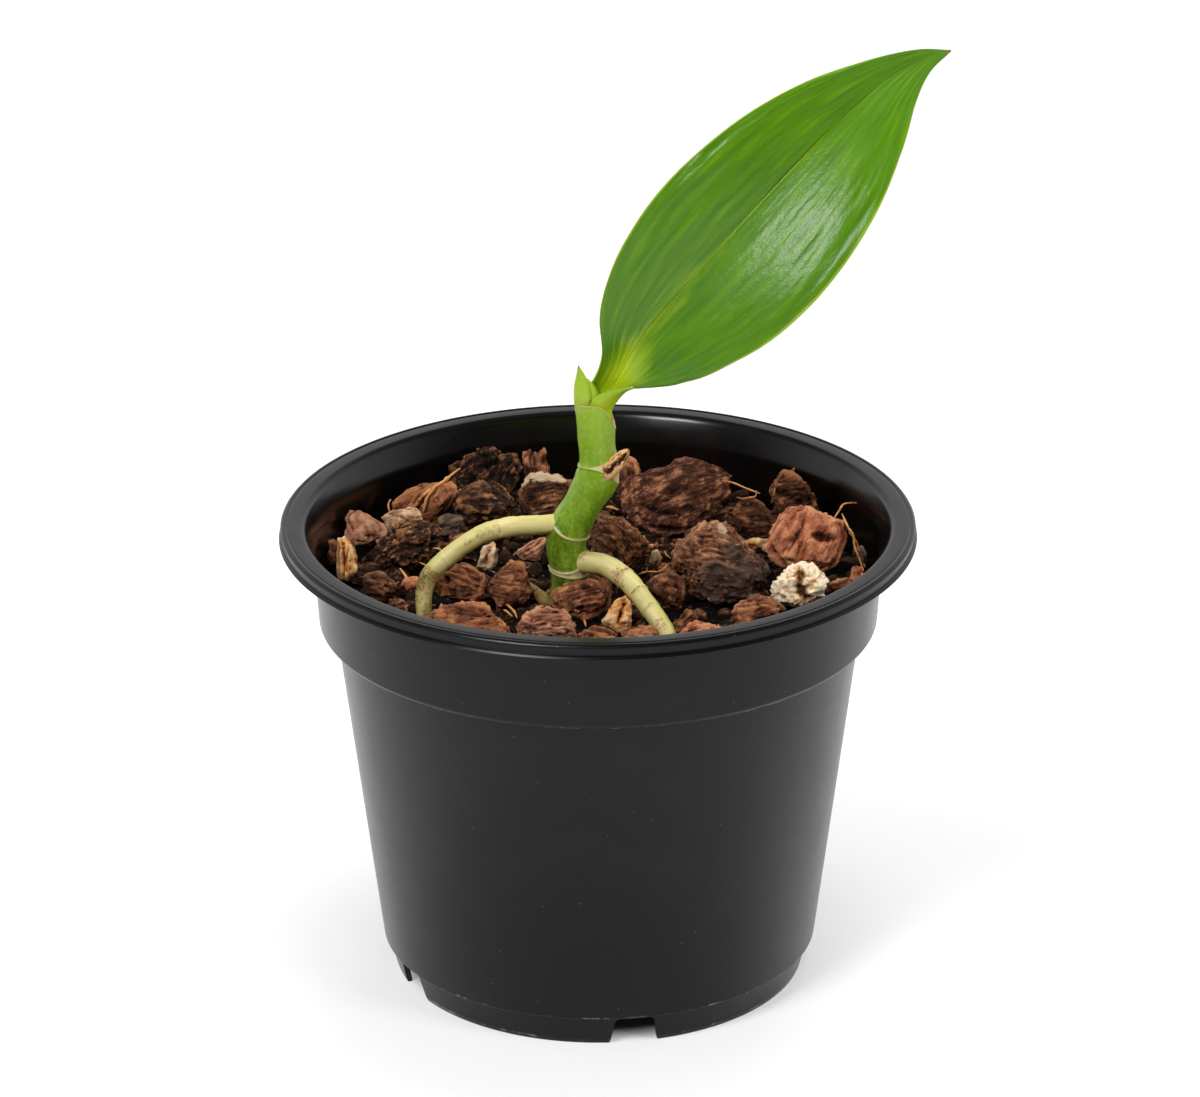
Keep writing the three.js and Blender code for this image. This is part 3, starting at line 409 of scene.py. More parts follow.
def dried_plant_tissue(name, dark, middle, light):
    """Dead plant tissue: papery, fibrous and matt, from dark where its relief is low, painted shade in its
    folds, to tan on its ribs.
    """
    material, tree = new_material(name)
    place = add(tree, "TexCoord", output="Object")
    relief = add(tree, "Attribute", output="Fac", attribute_name="relief")
    grain = add(tree, "TexNoise", {"Vector": place, "Scale": per_mm(0.8), "Detail": 6.0, "Roughness": 0.7})
    tone = add(tree, "Math", {0: relief, 1: grain}, operation="ADD")
    colour = add(tree, "ValToRGB", {"Fac": tone}, stops=[(0.55, dark), (1.0, light), (0.78, middle)])
    bump = add(tree, "Bump", {"Height": grain, "Strength": 0.6, "Distance": 0.3 * MM})
    return finish_material(material, Base_Color=colour, Roughness=0.8, Normal=bump, IOR=1.45,
                           Specular_IOR_Level=0.3)


def studio_paper():
    """Matt white backdrop paper, with a glow for the light that the white room throws on it, and painted
    shadows in
    that glow: none under the pot, and less close to it, most of all behind it and at its sides."""
    material, tree = new_material("studio_paper")
    fibre = add(tree, "TexNoise", {"Scale": 400.0, "Detail": 2.0})
    rough = add(tree, "MapRange", {"Value": fibre, "To Min": 0.85, "To Max": 0.95})
    place = add(tree, "TexCoord", output="Object")
    place = add(tree, "VectorMath", {0: place, 1: tuple(AXIS)}, operation="SUBTRACT")
    distance = add(tree, "VectorMath", {0: place}, output="Value", operation="LENGTH")
    # Painted shadow: no glow under the pot
    under = add(tree, "MapRange", {"Value": distance, "From Min": 38 * MM, "From Max": 46 * MM},
                interpolation_type="SMOOTHSTEP")
    # Painted shadows: less glow close to the pot, most of all behind it and at its sides
    behind = add(tree, "VectorMath", {0: place, 1: (0.45, 1.2, 1.0), 2: (0.0, -60 * MM, 0.0)},
                 operation="MULTIPLY_ADD")
    behind = add(tree, "VectorMath", {0: behind}, output="Value", operation="LENGTH")
    glow_with_painted_shadows = add(tree, "MapRange",
                 {"Value": behind, "From Min": 20 * MM, "From Max": 85 * MM, "To Min": 0.3, "To Max": 0.45},
                 interpolation_type="SMOOTHSTEP")
    glow = add(tree, "Math", {0: under, 1: glow_with_painted_shadows}, operation="MULTIPLY")
    return finish_material(material, Base_Color="#c8c8c8", Roughness=rough, Specular_IOR_Level=0.1,
                           Emission_Color="#ffffff", Emission_Strength=glow)


# Pot
# Its profile is [radius, height, corner radius], up the outside, over the lip and down the inside
POT_OUTSIDE = [
    (45.5, 0, 0.3), (46, 1.2, 0.4), (47.4, 6.9, 0.1), (48.4, 7.2, 0.25), (57.9, 82.1, 0.3),
    (60.8, 82.4, 0.2), (61.5, 83.2, 0.4), (62.7, 101.3, 0.5), (63.7, 102.2, 0.3), (69.8, 102.2, 0.1),
    (70, 102.35, 0.1), (69.55, 102.9, 0.2), (69.25, 103.05, 0.1), (69.35, 103.35, 0.15),
    (69.4, 104.6, 0.15), (69.65, 104.85, 0.15), (69.2, 105.45, 0.35), (68.6, 105.5, 0.2),
    (68.25, 105.28, 0.15), (67.8, 105.42, 0.2),
]
POT_INSIDE = [
    (64.9, 105.42, 0.5), (64.1, 104.7, 0.55), (62.9, 102.3, 0.8), (61.8, 99.6, 1.2), (60.6, 83.5, 0.4),
    (57, 82.7, 0.3), (47.6, 8.3, 0.5), (0, 8.3, 0), (0, 7.3, 0), (46.1, 7.2, 0.3), (44.4, 0, 0.3),
]
POT_SIDES = 256
NOTCH_TURNS = [9.4, 81.8, 153.8, 225.8, 296.8]
NOTCH_HEIGHT = 6.8
NOTCH_TOP_WIDTH = 8.6
NOTCH_BOTTOM_WIDTH = 11.6
FOOT_RADIUS = 46
DRAIN_HOLE_RADIUS = 4
DRAIN_HOLE_PLACE = 36
FLOOR_HEIGHT = 7.8
# The inside is dusty from just above the floor, which is that wide, to just inside the top of the wall
FLOOR_RADIUS = 47
DUSTY_FROM_HEIGHT = 8.2
DUSTY_TO_RADIUS = 64.2


def rounded(profile, steps=4):
    """Rounds each corner of a closed [radius, height, corner radius] profile."""
    count = len(profile)
    rounded_points = []
    for i, (radius, height, corner) in enumerate(profile):
        here = np.array([radius, height], float)
        before = np.array(profile[i - 1][:2], float) - here
        after = np.array(profile[(i + 1) % count][:2], float) - here
        if corner == 0:
            rounded_points.append(here)
            continue
        reach = [min(corner, 0.45 * np.linalg.norm(side)) for side in (before, after)]
        start = here + unit(before) * reach[0]
        end = here + unit(after) * reach[1]
        for t in np.linspace(0, 1, steps):
            rounded_points.append((1 - t) ** 2 * start + 2 * t * (1 - t) * here + t**2 * end)
    return np.array(rounded_points)


def turned(profile, sides):
    """Revolves a closed profile that starts and ends off the axis and may touch it in between."""
    turns = np.linspace(0, 2 * math.pi, sides, endpoint=False) + math.pi / 2
    radius, height = profile.T
    points = np.stack([np.outer(radius, np.cos(turns)), np.outer(radius, np.sin(turns)),
                       np.repeat(height[:, None], sides, axis=1)], axis=-1)
    rows = len(profile)
    faces = grid_faces(rows, sides, closed=True)
    seam = (rows - 1) * sides
    faces += [[seam + j, seam + (j + 1) % sides, (j + 1) % sides, j] for j in range(sides)]
    return points.reshape(-1, 3), faces


def notch_outline():
    """Half of the notch's outline from the middle of its top, in [across, up], with a round corner."""
    corner = np.array([NOTCH_TOP_WIDTH / 2 - 0.2, NOTCH_HEIGHT])
    t = np.linspace(0, 1, 6)[:, None]
    arc = (1 - t) ** 2 * (corner - [1.3, 0]) + 2 * t * (1 - t) * corner + t**2 * (corner + [0.35, -1.4])
    foot = np.array([[NOTCH_BOTTOM_WIDTH / 2 - 0.7, 0.8], [NOTCH_BOTTOM_WIDTH / 2, -1]])
    return np.vstack([arc, foot])


def prism(first, last):
    """The closed shape between two outlines of as many points."""
    count = len(first)
    ring = list(range(count))
    faces = [ring[::-1], [k + count for k in ring]]
    faces += [[k, (k + 1) % count, (k + 1) % count + count, k + count] for k in ring]
    return np.vstack([first, last]), faces


def pot_cutters():
    """The five notches in the foot and the five drain holes behind them, as one cutting shape."""
    half = notch_outline()
    outline = np.vstack([half, half[::-1] * [-1, 1]])
    rounds = np.linspace(0, 2 * math.pi, 32, endpoint=False)
    shells = []
    for turn in np.radians(NOTCH_TURNS):
        across = np.array([math.cos(turn), math.sin(turn), 0])
        out = np.array([math.sin(turn), -math.cos(turn), 0])
        shells.append(prism(*([across * x + out * depth + [0, 0, z] for x, z in outline]
                              for depth in (FOOT_RADIUS - 5, FOOT_RADIUS + 3))))
        shells.append(prism(*([out * (DRAIN_HOLE_PLACE + DRAIN_HOLE_RADIUS * math.cos(a))
                               + across * DRAIN_HOLE_RADIUS * math.sin(a) + [0, 0, height] for a in rounds]
                              for height in (FLOOR_HEIGHT - 2, FLOOR_HEIGHT + 2))))
    return join_shells(shells)


def weld_axis(points, faces):
    """Makes one point of those that lie on the axis at one height, and drops the faces that this shuts."""
    off_axis = np.hypot(points[:, 0], points[:, 1]) > 1e-6
    index = np.cumsum(off_axis) - 1
    centres = {}
    welded = []
    for face in faces:
        corners = []
        for k in face:
            if off_axis[k]:
                corner = int(index[k])
            else:
                height = round(float(points[k][2]), 3)
                corner = centres.setdefault(height, int(off_axis.sum()) + len(centres))
            if corner not in corners:
                corners.append(corner)
        if len(corners) > 2:
            welded.append(corners)
    return np.vstack([points[off_axis], [[0, 0, height] for height in centres]]), welded


def cut_foot(pot):
    """Cuts the notches and the drain holes out of the pot."""
    points, faces = pot_cutters()
    mesh = bpy.data.meshes.new("cutters")
    mesh.from_pydata((points * MM + AXIS).tolist(), [], faces)
    shell = bmesh.new()
    shell.from_mesh(mesh)
    bmesh.ops.recalc_face_normals(shell, faces=shell.faces)
    shell.to_mesh(mesh)
    shell.free()
    cutter = bpy.data.objects.new("cutters", mesh)
    bpy.context.scene.collection.objects.link(cutter)
    cut = pot.modifiers.new("cut", "BOOLEAN")
    cut.operation = "DIFFERENCE"
    cut.solver = "EXACT"
    cut.object = cutter
    graph = bpy.context.evaluated_depsgraph_get()
    pot.data = bpy.data.meshes.new_from_object(pot.evaluated_get(graph))
    pot.modifiers.clear()
    bpy.data.objects.remove(cutter)


def make_pot():
    plastic = moulded_polypropylene("moulded_polypropylene", "#0c0c0d", "#5c5a58", 0.02, 0.2, 0.28)
    dusty = moulded_polypropylene("dusty_polypropylene", "#080707", "#2c1c15", 0.35, 0.3, 0.19)
    points, faces = weld_axis(*turned(rounded(POT_OUTSIDE + POT_INSIDE), POT_SIDES))
    pot = add_piece("nursery_pot", points, faces, [plastic, dusty], ["pot"])
    inside_wall = []
    for polygon in pot.data.polygons:
        x, y, z = (np.array(polygon.center) - AXIS) / MM
        radius = math.hypot(x, y)
        inwards = (np.array(polygon.normal)[:2] @ np.array([x, y])) < 0
        above_floor = z > DUSTY_FROM_HEIGHT and (inwards or radius < FLOOR_RADIUS)
        inside_wall.append(int(above_floor and radius < DUSTY_TO_RADIUS))
    pot.data.polygons.foreach_set("material_index", inside_wall)
    cut_foot(pot)
    pot.data.shade_smooth()
    pot.data.set_sharp_from_angle(angle=math.radians(32))


# Plant


class Route:
    """A smooth line through millimetre points, with a front and a right-hand direction all along it."""

    def __init__(self, points, samples=400):
        self.centre = smooth_route(points, samples)
        self.length = np.linalg.norm(np.diff(self.centre, axis=0), axis=1).sum()
        self.tangent = unit(np.gradient(self.centre, axis=0))
        front = TO_VIEWER - self.tangent * (self.tangent @ TO_VIEWER)[:, None]
        self.front = unit(front)
        self.right = np.cross(self.tangent, self.front)
        self.places = np.linspace(0, 1, samples)

    def read(self, values, places):
        return np.stack([np.interp(places, self.places, values[:, k]) for k in range(3)], axis=-1)

    def rings(self, places, radii, sides):
        """Rings of points, first at the front and then round to the right."""
        turns = np.linspace(0, 2 * math.pi, sides, endpoint=False)
        front = self.read(self.front, places) * np.cos(turns)[None, :, None]
        right = self.read(self.right, places) * np.sin(turns)[None, :, None]
        return self.read(self.centre, places) + (front + right) * radii[..., None]


def spots(points, places):
    """How strongly each point lies in any of the [x, y, z, radius] spots."""
    strength = np.zeros(points.shape[:-1])
    for x, y, z, radius in places:
        distance = np.linalg.norm(points - [x, y, z], axis=-1)
        strength = np.maximum(strength, 1 - smoothstep(0.4 * radius, radius, distance))
    return strength


STEM_PATH = [
    (-7, -12.5, 70), (-7.5, -13.5, 84), (-7.2, -14, 91.7), (-6.3, -13.8, 96), (-6.2, -13.6, 100),
    (-6.9, -13.3, 105), (-6.1, -13.1, 109), (-2.9, -12.9, 115), (0, -12.7, 121), (-0.2, -12.3, 129),
    (-0.5, -12, 137.2), (-0.6, -12, 140.2),
]
STEM_RADII = [
    (0, 3.2), (0.19, 3.7), (0.365, 3.9), (0.43, 4.5), (0.48, 4.4), (0.555, 4.6), (0.63, 4.1), (0.73, 4.7),
    (0.785, 4.1), (0.88, 4.15), (0.96, 4.4), (1, 4.4),
]
# Where each node's ring crosses the stem's left side, front, and right side, in mm along the stem
STEM_LOW_RING = (30.8, 30.0, 32.4)
STEM_LOW_RING_END = (29.6, 28.8, 28.6)
STEM_COLLAR = (39.9, 38.2, 38.6)
STEM_SCAR_TOP = (55.3, 56.3, 57.8)
STEM_SCAR_FOOT = (55.1, 55.2, 52.4)
STEM_TOP = (69.9, 70.2, 63.4)


def ring_line(crossing, across):
    """The height of a ring's line at places from -1, the stem's left side, to 1, its right side."""
    left, front, right = crossing
    return front + (right - left) / 2 * across + ((left + right) / 2 - front) * across**2


def make_stem():
    rows, sides = 420, 72
    route = Route(STEM_PATH)
    turns = np.linspace(0, 2 * math.pi, sides, endpoint=False)
    across = np.sin(turns)[None, :]
    left, front, right = STEM_TOP
    top = (front - np.where(across > 0, front - right, front - left) * across**2) / route.length
    places = np.linspace(0, 1, rows)[:, None] * top
    height = places * route.length
    radii = smooth_values(STEM_RADII, places)
    scar = np.zeros_like(radii)

    # The collar and the low ring are thin raised lines, with the skin a little wider below each
    for crossing, width, rise in ((STEM_COLLAR, 0.3, 0.22), (STEM_LOW_RING, 0.3, 0.15)):
        above = height - ring_line(crossing, across)
        radii += rise * np.exp(-((above / width) ** 2)) - 0.15 * smoothstep(0, 0.8, above)
        radii += 0.15 * smoothstep(2.5, 6, above)
        scar = np.maximum(scar, 0.8 * (1 - smoothstep(0.6 * width, 1.6 * width, np.abs(above))))

    # Between the lines of the low ring and of the upper scar, the skin is dry and pale
    bands = ((STEM_LOW_RING, STEM_LOW_RING_END), (STEM_SCAR_TOP, STEM_SCAR_FOOT))
    for upper, lower in bands:
        below_top = ring_line(upper, across) - height
        above_foot = height - ring_line(lower, across)
        scar = np.maximum(scar, smoothstep(-0.3, 0.25, np.minimum(below_top, above_foot)))
        radii += 0.2 * np.exp(-((above_foot / 0.35) ** 2)) + 0.08 * np.exp(-((below_top / 0.3) ** 2))

    # The top ends in a thin oblique lip, round the stalk of the leaf
    below_lip = top * route.length - height
    radii += 0.08 * np.exp(-((below_lip / 0.35) ** 2))
    scar = np.maximum(scar, 0.62 * (1 - smoothstep(0.1, 0.45, below_lip)))
    radii += 0.05 * np.sin(turns * 3 + 1)[None, :]
    rings = route.rings(places, radii, sides)

    # Inside the lip the skin turns in and down
    lip = rings[-1]
    middle = lip.mean(0)
    inner = [lip + (middle - lip) * share + [0, 0, drop]
             for share, drop in ((0.03, 0), (0.07, -0.9), (0.6, -1))]
    rings = np.concatenate([rings, np.array(inner)])
    grain = read_noise(noise.fractal, rings.reshape(-1, 3) / 3, 1.0, 2.0, 3).reshape(rings.shape[:2])
    rings += (rings - rings.mean(1, keepdims=True)) * grain[..., None] * 0.02
    points, faces = closed_rings(rings)
    pad = [(0, len(inner)), (0, 0)]
    marks = {
        "along": at_ends(np.pad(height / route.length, pad, mode="edge")),
        "scar": at_ends(np.pad(scar, pad, mode="edge")),
    }
    skin = green_stem_skin(
        "green_stem_skin",
        [(0.33, "#33440c"), (0.96, "#8fae24"), (0.42, "#44570f"), (0.535, "#507008"), (0.63, "#5f860c"),
         (0.75, "#6c9210"), (0.83, "#769c12")],
        "#cdbf8a",
    )
    add_piece("stem_skin", points, faces, [skin], ["stem"], marks)


# Rings are [place along the root, rise in mm]. Stains and dirt are [x, y, z, radius] spots in mm
ROOTS = {
    "aerial_root_left": {
        "path": [(-6, -13.4, 109), (-8, -13.4, 109.6), (-12, -14, 109.9), (-17, -14.4, 109.8),
                 (-21.2, -14.8, 109.3), (-24.9, -15.2, 108.3), (-28, -15.6, 106.6), (-33.8, -16.4, 102.2),
                 (-36.6, -17, 99.2), (-37.8, -17.6, 95.6), (-37.9, -18, 91), (-37.5, -17.5, 82)],
        "radii": [(0, 2.4), (0.08, 2.2), (0.3, 2.15), (0.5, 2), (0.65, 1.95), (0.8, 1.75), (1, 1.4)],
        "rings": [(0.31, 0.1), (0.57, 0.08)],
        "stains": [(-25.5, -17.2, 109, 2.2), (-23.8, -17, 109.8, 2.2), (-22, -16.9, 109.9, 2.4),
                   (-28.3, -17.8, 107.4, 2), (-37, -19.4, 97.4, 2.8), (-36.4, -19.6, 93.4, 3),
                   (-39.4, -19.2, 94.8, 2.6)],
        "dirt": [(-37.4, -18.6, 100.6, 2.6), (-35.8, -18.7, 99.6, 2.6), (-38.8, -18, 98, 3),
                 (-36.5, -20, 91.5, 3)],
    },
    "aerial_root_right": {
        "path": [(-6.5, -13.6, 101), (-5, -14.6, 101.4), (-2.8, -16, 101.8), (1.5, -18.7, 102.2),
                 (4.3, -21.3, 101.6), (7.2, -24, 99.9), (9.7, -26.7, 97.5), (12.3, -29.3, 94.8),
                 (14.8, -31.6, 91.6), (16.2, -33.5, 86), (16.6, -34, 80)],
        "radii": [(0, 2.8), (0.1, 2.45), (0.4, 2.3), (0.7, 2), (1, 1.7)],
        "rings": [(0.07, 0.25), (0.35, 0.18), (0.47, 0.14), (0.57, 0.1)],
        "stains": [(4.2, -23.6, 102.6, 2.6), (4.4, -24.2, 101.4, 2.6), (5.2, -24.9, 100.5, 2),
                   (13.4, -32.4, 94.2, 2.6), (-3.4, -16.8, 103.4, 2.4)],
        "dirt": [(-4.5, -16.4, 100.4, 1.5)],
    },
    "foot_root": {
        "path": [(-8, -14.6, 90), (-9, -15.4, 91), (-11, -15.6, 92.2), (-13.5, -12, 93), (-16, -9, 93),
                 (-19, -6, 90), (-21, -3, 85)],
        "radii": [(0, 1.7), (0.25, 1.35), (0.6, 1.2), (1, 1)],
        "rings": [(0.3, 0.1)],
        "stains": [(-11, -17, 92, 2.4), (-14, -13, 95, 2.6)],
        "dirt": [(-13, -13.6, 92.4, 4), (-9.5, -16.5, 91.5, 2.5)],
    },
}


def make_root(name, skin):
    rows, sides = 220, 40
    root = ROOTS[name]
    route = Route(root["path"])
    places = np.repeat(np.linspace(0, 1, rows)[:, None], sides, axis=1)
    radii = smooth_values(root["radii"], places)
    turns = np.linspace(0, 2 * math.pi, sides, endpoint=False)[None, :]
    along = places * route.length
    skin_places = np.stack([along, radii * np.cos(turns), radii * np.sin(turns)], axis=-1)
    wander = read_noise(noise.noise, skin_places.reshape(-1, 3) / 1.6).reshape(places.shape)
    stain = np.zeros_like(places)
    for place, rise in root["rings"]:
        slanted = along - place * route.length + 0.5 * np.cos(turns) + 0.5 * wander
        groove = np.exp(-(((slanted - 0.9) / 0.5) ** 2))
        radii += rise * np.exp(-((slanted / 0.35) ** 2)) - 0.5 * rise * groove
        stain = np.maximum(stain, 8 * rise * np.exp(-((slanted / 0.3) ** 2)))
    rings = route.rings(places, radii, sides)
    centre = rings.mean(1, keepdims=True)
    swell = read_noise(noise.fractal, rings.reshape(-1, 3) / 4.5, 1.0, 2.0, 3).reshape(rings.shape[:2])
    stain = np.maximum(np.minimum(stain, 1), 0.76 * spots(rings, root["stains"]))
    rings += (rings - centre) * (0.09 * swell + 0.03 * stain * wander)[..., None]
    points, faces = closed_rings(rings)
    marks = {
        "stain": at_ends(stain),
        "dirt": at_ends(0.88 * spots(rings, root["dirt"])),
        "skin": np.vstack([skin_places.reshape(-1, 3), skin_places[0].mean(0), skin_places[-1].mean(0)]),
    }
    add_piece(name + "_skin", points, faces, [skin], [name], marks)


# Young shoot: two folded scales, the smaller one behind and to the right
SHOOT_SCALES = [
    ([(-2.9, -12.2, 135.2), (-3, -12.4, 138), (-3.2, -12.6, 140.2), (-3.4, -12.6, 142),
      (-3.7, -12.6, 144.1), (-4.1, -12.5, 146.2)],
     [(0, 1.9), (0.25, 2.1), (0.45, 2), (0.62, 1.65), (0.8, 0.95), (0.92, 0.45), (1, 0.1)]),
    ([(-1, -12.2, 135.2), (-1.1, -12.3, 138), (-1.4, -12.2, 140.2), (-2.2, -12.1, 143)],
     [(0, 1.7), (0.35, 1.75), (0.62, 1.4), (0.85, 0.75), (1, 0.1)]),
]


def make_shoot():
    rows, sides = 70, 40
    turns = np.linspace(0, 2 * math.pi, sides, endpoint=False)[None, :]
    places = np.repeat(np.linspace(0, 1, rows)[:, None], sides, axis=1)
    keel = 0.14 * np.cos(turns - 0.6) ** 8
    points, faces = join_shells(
        closed_rings(Route(path).rings(places, smooth_values(radii, places) * (1 + keel), sides))
        for path, radii in SHOOT_SCALES
    )
    marks = {
        "along": np.tile(at_ends(places), len(SHOOT_SCALES)),
        "scar": np.tile(at_ends(smoothstep(0.93, 1, places)), len(SHOOT_SCALES)),
    }
    skin = green_stem_skin(
        "shoot_skin", [(0.0, "#b9c25a"), (1.0, "#8a7a30"), (0.5, "#9db62c"), (0.85, "#86a428")], "#8a5a2c"
    )
    add_piece("shoot_scales", points, faces, [skin], ["young_shoot"], marks)


STUB_PATH = [
    (0.6, -14.2, 121), (1.7, -15, 122.2), (2.9, -15.9, 123.7), (4.7, -15.6, 125.6), (6.7, -14.8, 127.8),
]
STUB_RADII = [(0, 1.8), (0.15, 2.1), (0.4, 1.95), (0.7, 1.5), (0.88, 1), (0.96, 0.5), (1, 0.15)]


def make_stub():
    """A dead root stub: a fibrous cone that ends in torn points, with a furrow along its front painted dark
    as shade.
    """
    rows, sides = 110, 64
    route = Route(STUB_PATH)
    turns = np.linspace(0, 2 * math.pi, sides, endpoint=False)[None, :]
    circle = np.column_stack([np.cos(turns[0]), np.sin(turns[0]), np.zeros(sides)])
    torn = read_noise(noise.noise, circle * 1.6)
    places = np.linspace(0, 1, rows)[:, None] * (0.94 + 0.12 * torn)
    along = places * route.length
    twisted = turns + 0.1 * along
    flat = np.stack([along / 1.7, np.cos(twisted) * 1.7, np.sin(twisted) * 1.7], axis=-1)
    ribs = read_noise(noise.fractal, flat.reshape(-1, 3) + 7, 0.9, 2.0, 4).reshape(places.shape)
    from_furrow = np.angle(np.exp(1j * (turns + 0.35 - 0.06 * along + 0.5 * ribs)))
    furrow = np.exp(-((from_furrow / 0.32) ** 2))
    furrow = furrow * smoothstep(0.2, 0.4, places) * (1 - smoothstep(0.85, 0.95, places))
    radii = smooth_values(STUB_RADII, places) * (1 + 0.1 * ribs - 0.22 * furrow)
    # The furrow is painted near black as shade; the ribs vary the tan
    relief = np.clip(0.5 + 0.6 * ribs - 0.6 * furrow, 0, 1)
    points, faces = closed_rings(route.rings(places, radii, sides))
    tissue = dried_plant_tissue("dried_stub_tissue", "#1d0f08", "#8f5a30", "#dba973")
    add_piece("dried_stub_tissue", points, faces, [tissue], ["dried_stub"],
              {"relief": at_ends(relief)})


# Leaf: the midrib, and the widths of its upper left and lower right halves
LEAF_MIDRIB = [
    (1.4, -12.8, 134.2), (3, -13, 138.1), (4.1, -13.3, 141.4), (6.1, -13.8, 147), (10.2, -14, 154),
    (21.7, -13.5, 168.1), (32.1, -11.5, 179.6), (42.6, -7.5, 190.1), (53.5, -1.5, 199.4),
    (61.6, 4, 204.7), (69.2, 8.5, 207.9), (75.8, 12, 208.7),
]
LEAF_UPPER_HALF = [
    (0, 2.6), (0.05, 3), (0.09, 3.6), (0.12, 5.4), (0.17, 10.1), (0.25, 14.7), (0.34, 17.3), (0.44, 18.2),
    (0.54, 17.2), (0.64, 14.8), (0.74, 11), (0.83, 6.6), (0.92, 2.9), (1, 0.25),
]
LEAF_LOWER_HALF = [
    (0, 2.2), (0.06, 3), (0.09, 7.6), (0.115, 11.7), (0.14, 12.9), (0.165, 13.6), (0.19, 15.5),
    (0.22, 17.3), (0.27, 19.6), (0.34, 22.5), (0.44, 24.2), (0.54, 23.6), (0.64, 21.1), (0.74, 16.5),
    (0.83, 10.8), (0.92, 4.7), (1, 0.25),
]
# The stalk is rolled round an axis, up to where the blade has opened. Its midrib lies at the back right
# and its margins at the front and the left. Turns are in degrees from the right towards the viewer.
STALK_AXIS = [
    (-0.3, -12.4, 131), (-0.2, -12.4, 134), (0.1, -12.4, 138), (1.6, -12.9, 142), (4.4, -13.4, 147),
    (7.5, -13.8, 152),
]
STALK_RADII = [(0, 2.2), (0.03, 2.5), (0.05, 2.8), (0.07, 3.3), (0.1, 3.6), (0.2, 4.5)]
STALK_TURNS = {"midrib": -60, "lower": 128, "upper": -165}
STALK_END = 0.2
LEAF_THICKNESS = 1.2
LEAF_FOLD = {"lower": (30, 9), "upper": (156, 174)}
VEINS = 13


def leaf_sheet(rows, share):
    """The middle of the leaf's thickness: rows from the base to the tip, columns from margin to margin."""
    places = np.linspace(0, 1, rows)
    blade_route = Route(LEAF_MIDRIB)
    centre = blade_route.read(blade_route.centre, places)
    tangent = unit(np.gradient(centre, axis=0))
    right = unit(np.cross(tangent, TO_VIEWER))
    face = np.cross(right, tangent)
    stalk_route = Route(STALK_AXIS)
    stalk_places = np.minimum(places / STALK_END, 1)
    stalk_centre = stalk_route.read(stalk_route.centre, stalk_places)
    stalk_front = stalk_route.read(stalk_route.front, stalk_places)
    stalk_right = stalk_route.read(stalk_route.right, stalk_places)
    stalk_radius = smooth_values(STALK_RADII, places)
    opened = smoothstep(0.04, 0.17, places)[:, None, None]
    halves = {}
    for half, widths in (("lower", LEAF_LOWER_HALF), ("upper", LEAF_UPPER_HALF)):
        width = smooth_values(widths, places)
        start, end = (math.radians(turn) for turn in LEAF_FOLD[half])
        middle = (share[1:] + share[:-1]) / 2
        turn = start + (end - start) * middle
        step = np.diff(share)[None, :] * width[:, None]
        run = np.cumsum(np.cos(turn)[None, :] * step, axis=1)
        rise = np.cumsum(np.sin(turn)[None, :] * step, axis=1)
        run, rise = (np.column_stack([np.zeros(rows), v])[..., None] for v in (run, rise))
        blade = centre[:, None] + right[:, None] * run + face[:, None] * rise
        start, end = (math.radians(STALK_TURNS[place]) for place in ("midrib", half))
        turn = (start + (end - start) * share)[None, :, None]
        radial = stalk_right[:, None] * np.cos(turn) + stalk_front[:, None] * np.sin(turn)
        stalk = stalk_centre[:, None] + radial * stalk_radius[:, None, None]
        halves[half] = stalk * (1 - opened) + blade * opened
    return np.concatenate([halves["upper"][:, :0:-1], halves["lower"]], axis=1), places


def make_leaf():
    rows, columns = 230, 60
    share = np.linspace(0, 1, columns + 1) ** 0.9
    sheet, places = leaf_sheet(rows, share)
    length = Route(LEAF_MIDRIB).length
    across = np.concatenate([-share[:0:-1], share])
    side = np.broadcast_to(across, (rows, len(across)))
    along = np.broadcast_to(places[:, None], side.shape)
    blade = smoothstep(0.06, 0.2, places)

    # Lengthwise veins, a sunken midrib, and slow waves across the blade
    normal = unit(np.cross(np.gradient(sheet, axis=1), np.gradient(sheet, axis=0)))
    open_part = blade[:, None] * (1 - smoothstep(0.9, 1, places))[:, None]
    flat = np.column_stack([(along * length / 22).ravel(), (side * 5).ravel(), np.zeros(side.size)])
    slow = read_noise(noise.fractal, flat, 1.0, 2.0, 3).reshape(side.shape)
    veins = np.cos(np.abs(side) * VEINS * 2 * math.pi + 2 * slow)
    relief = open_part**2 * (0.02 * veins + 0.4 * slow * np.abs(side))
    relief -= 0.1 * np.exp(-((side / 0.025) ** 2)) * blade[:, None]
    sheet = sheet + normal * relief[..., None]

    thickness = 0.5 * (LEAF_THICKNESS + 0.1 * (1 - blade))[:, None] * (1 - 0.6 * side**2)
    thickness = thickness * (1 - 0.5 * smoothstep(0.94, 1, np.abs(side)))
    upper_face = sheet + normal * thickness[..., None]
    lower_face = sheet - normal * thickness[..., None]
    rings = np.concatenate([upper_face, lower_face[:, ::-1]], axis=1)
    points, faces = closed_rings(rings)

    def both(values):
        return at_ends(np.concatenate([values, values[:, ::-1]], axis=1))

    young = 1 - smoothstep(0.08, 0.24, along + 0.11 * np.abs(side))
    midrib = np.exp(-np.abs(side / 0.09)) * (1 - smoothstep(0.12, 0.5, along))
    young = np.maximum(np.maximum(young, 0.5 * midrib), 0.3 * np.exp(-np.abs(side / 0.02)))
    marks = {
        "along": both(along),
        "across": both(side),
        "young": both(young),
        "under": at_ends(np.concatenate([np.zeros(side.shape), np.ones(side.shape)], axis=1)),
        "blade": np.column_stack([both(along * length / 14), both(side * VEINS), both(side * 0)]),
    }
    add_piece("leaf_blade", points, faces, [leaf_cuticle()], ["leaf"], marks)


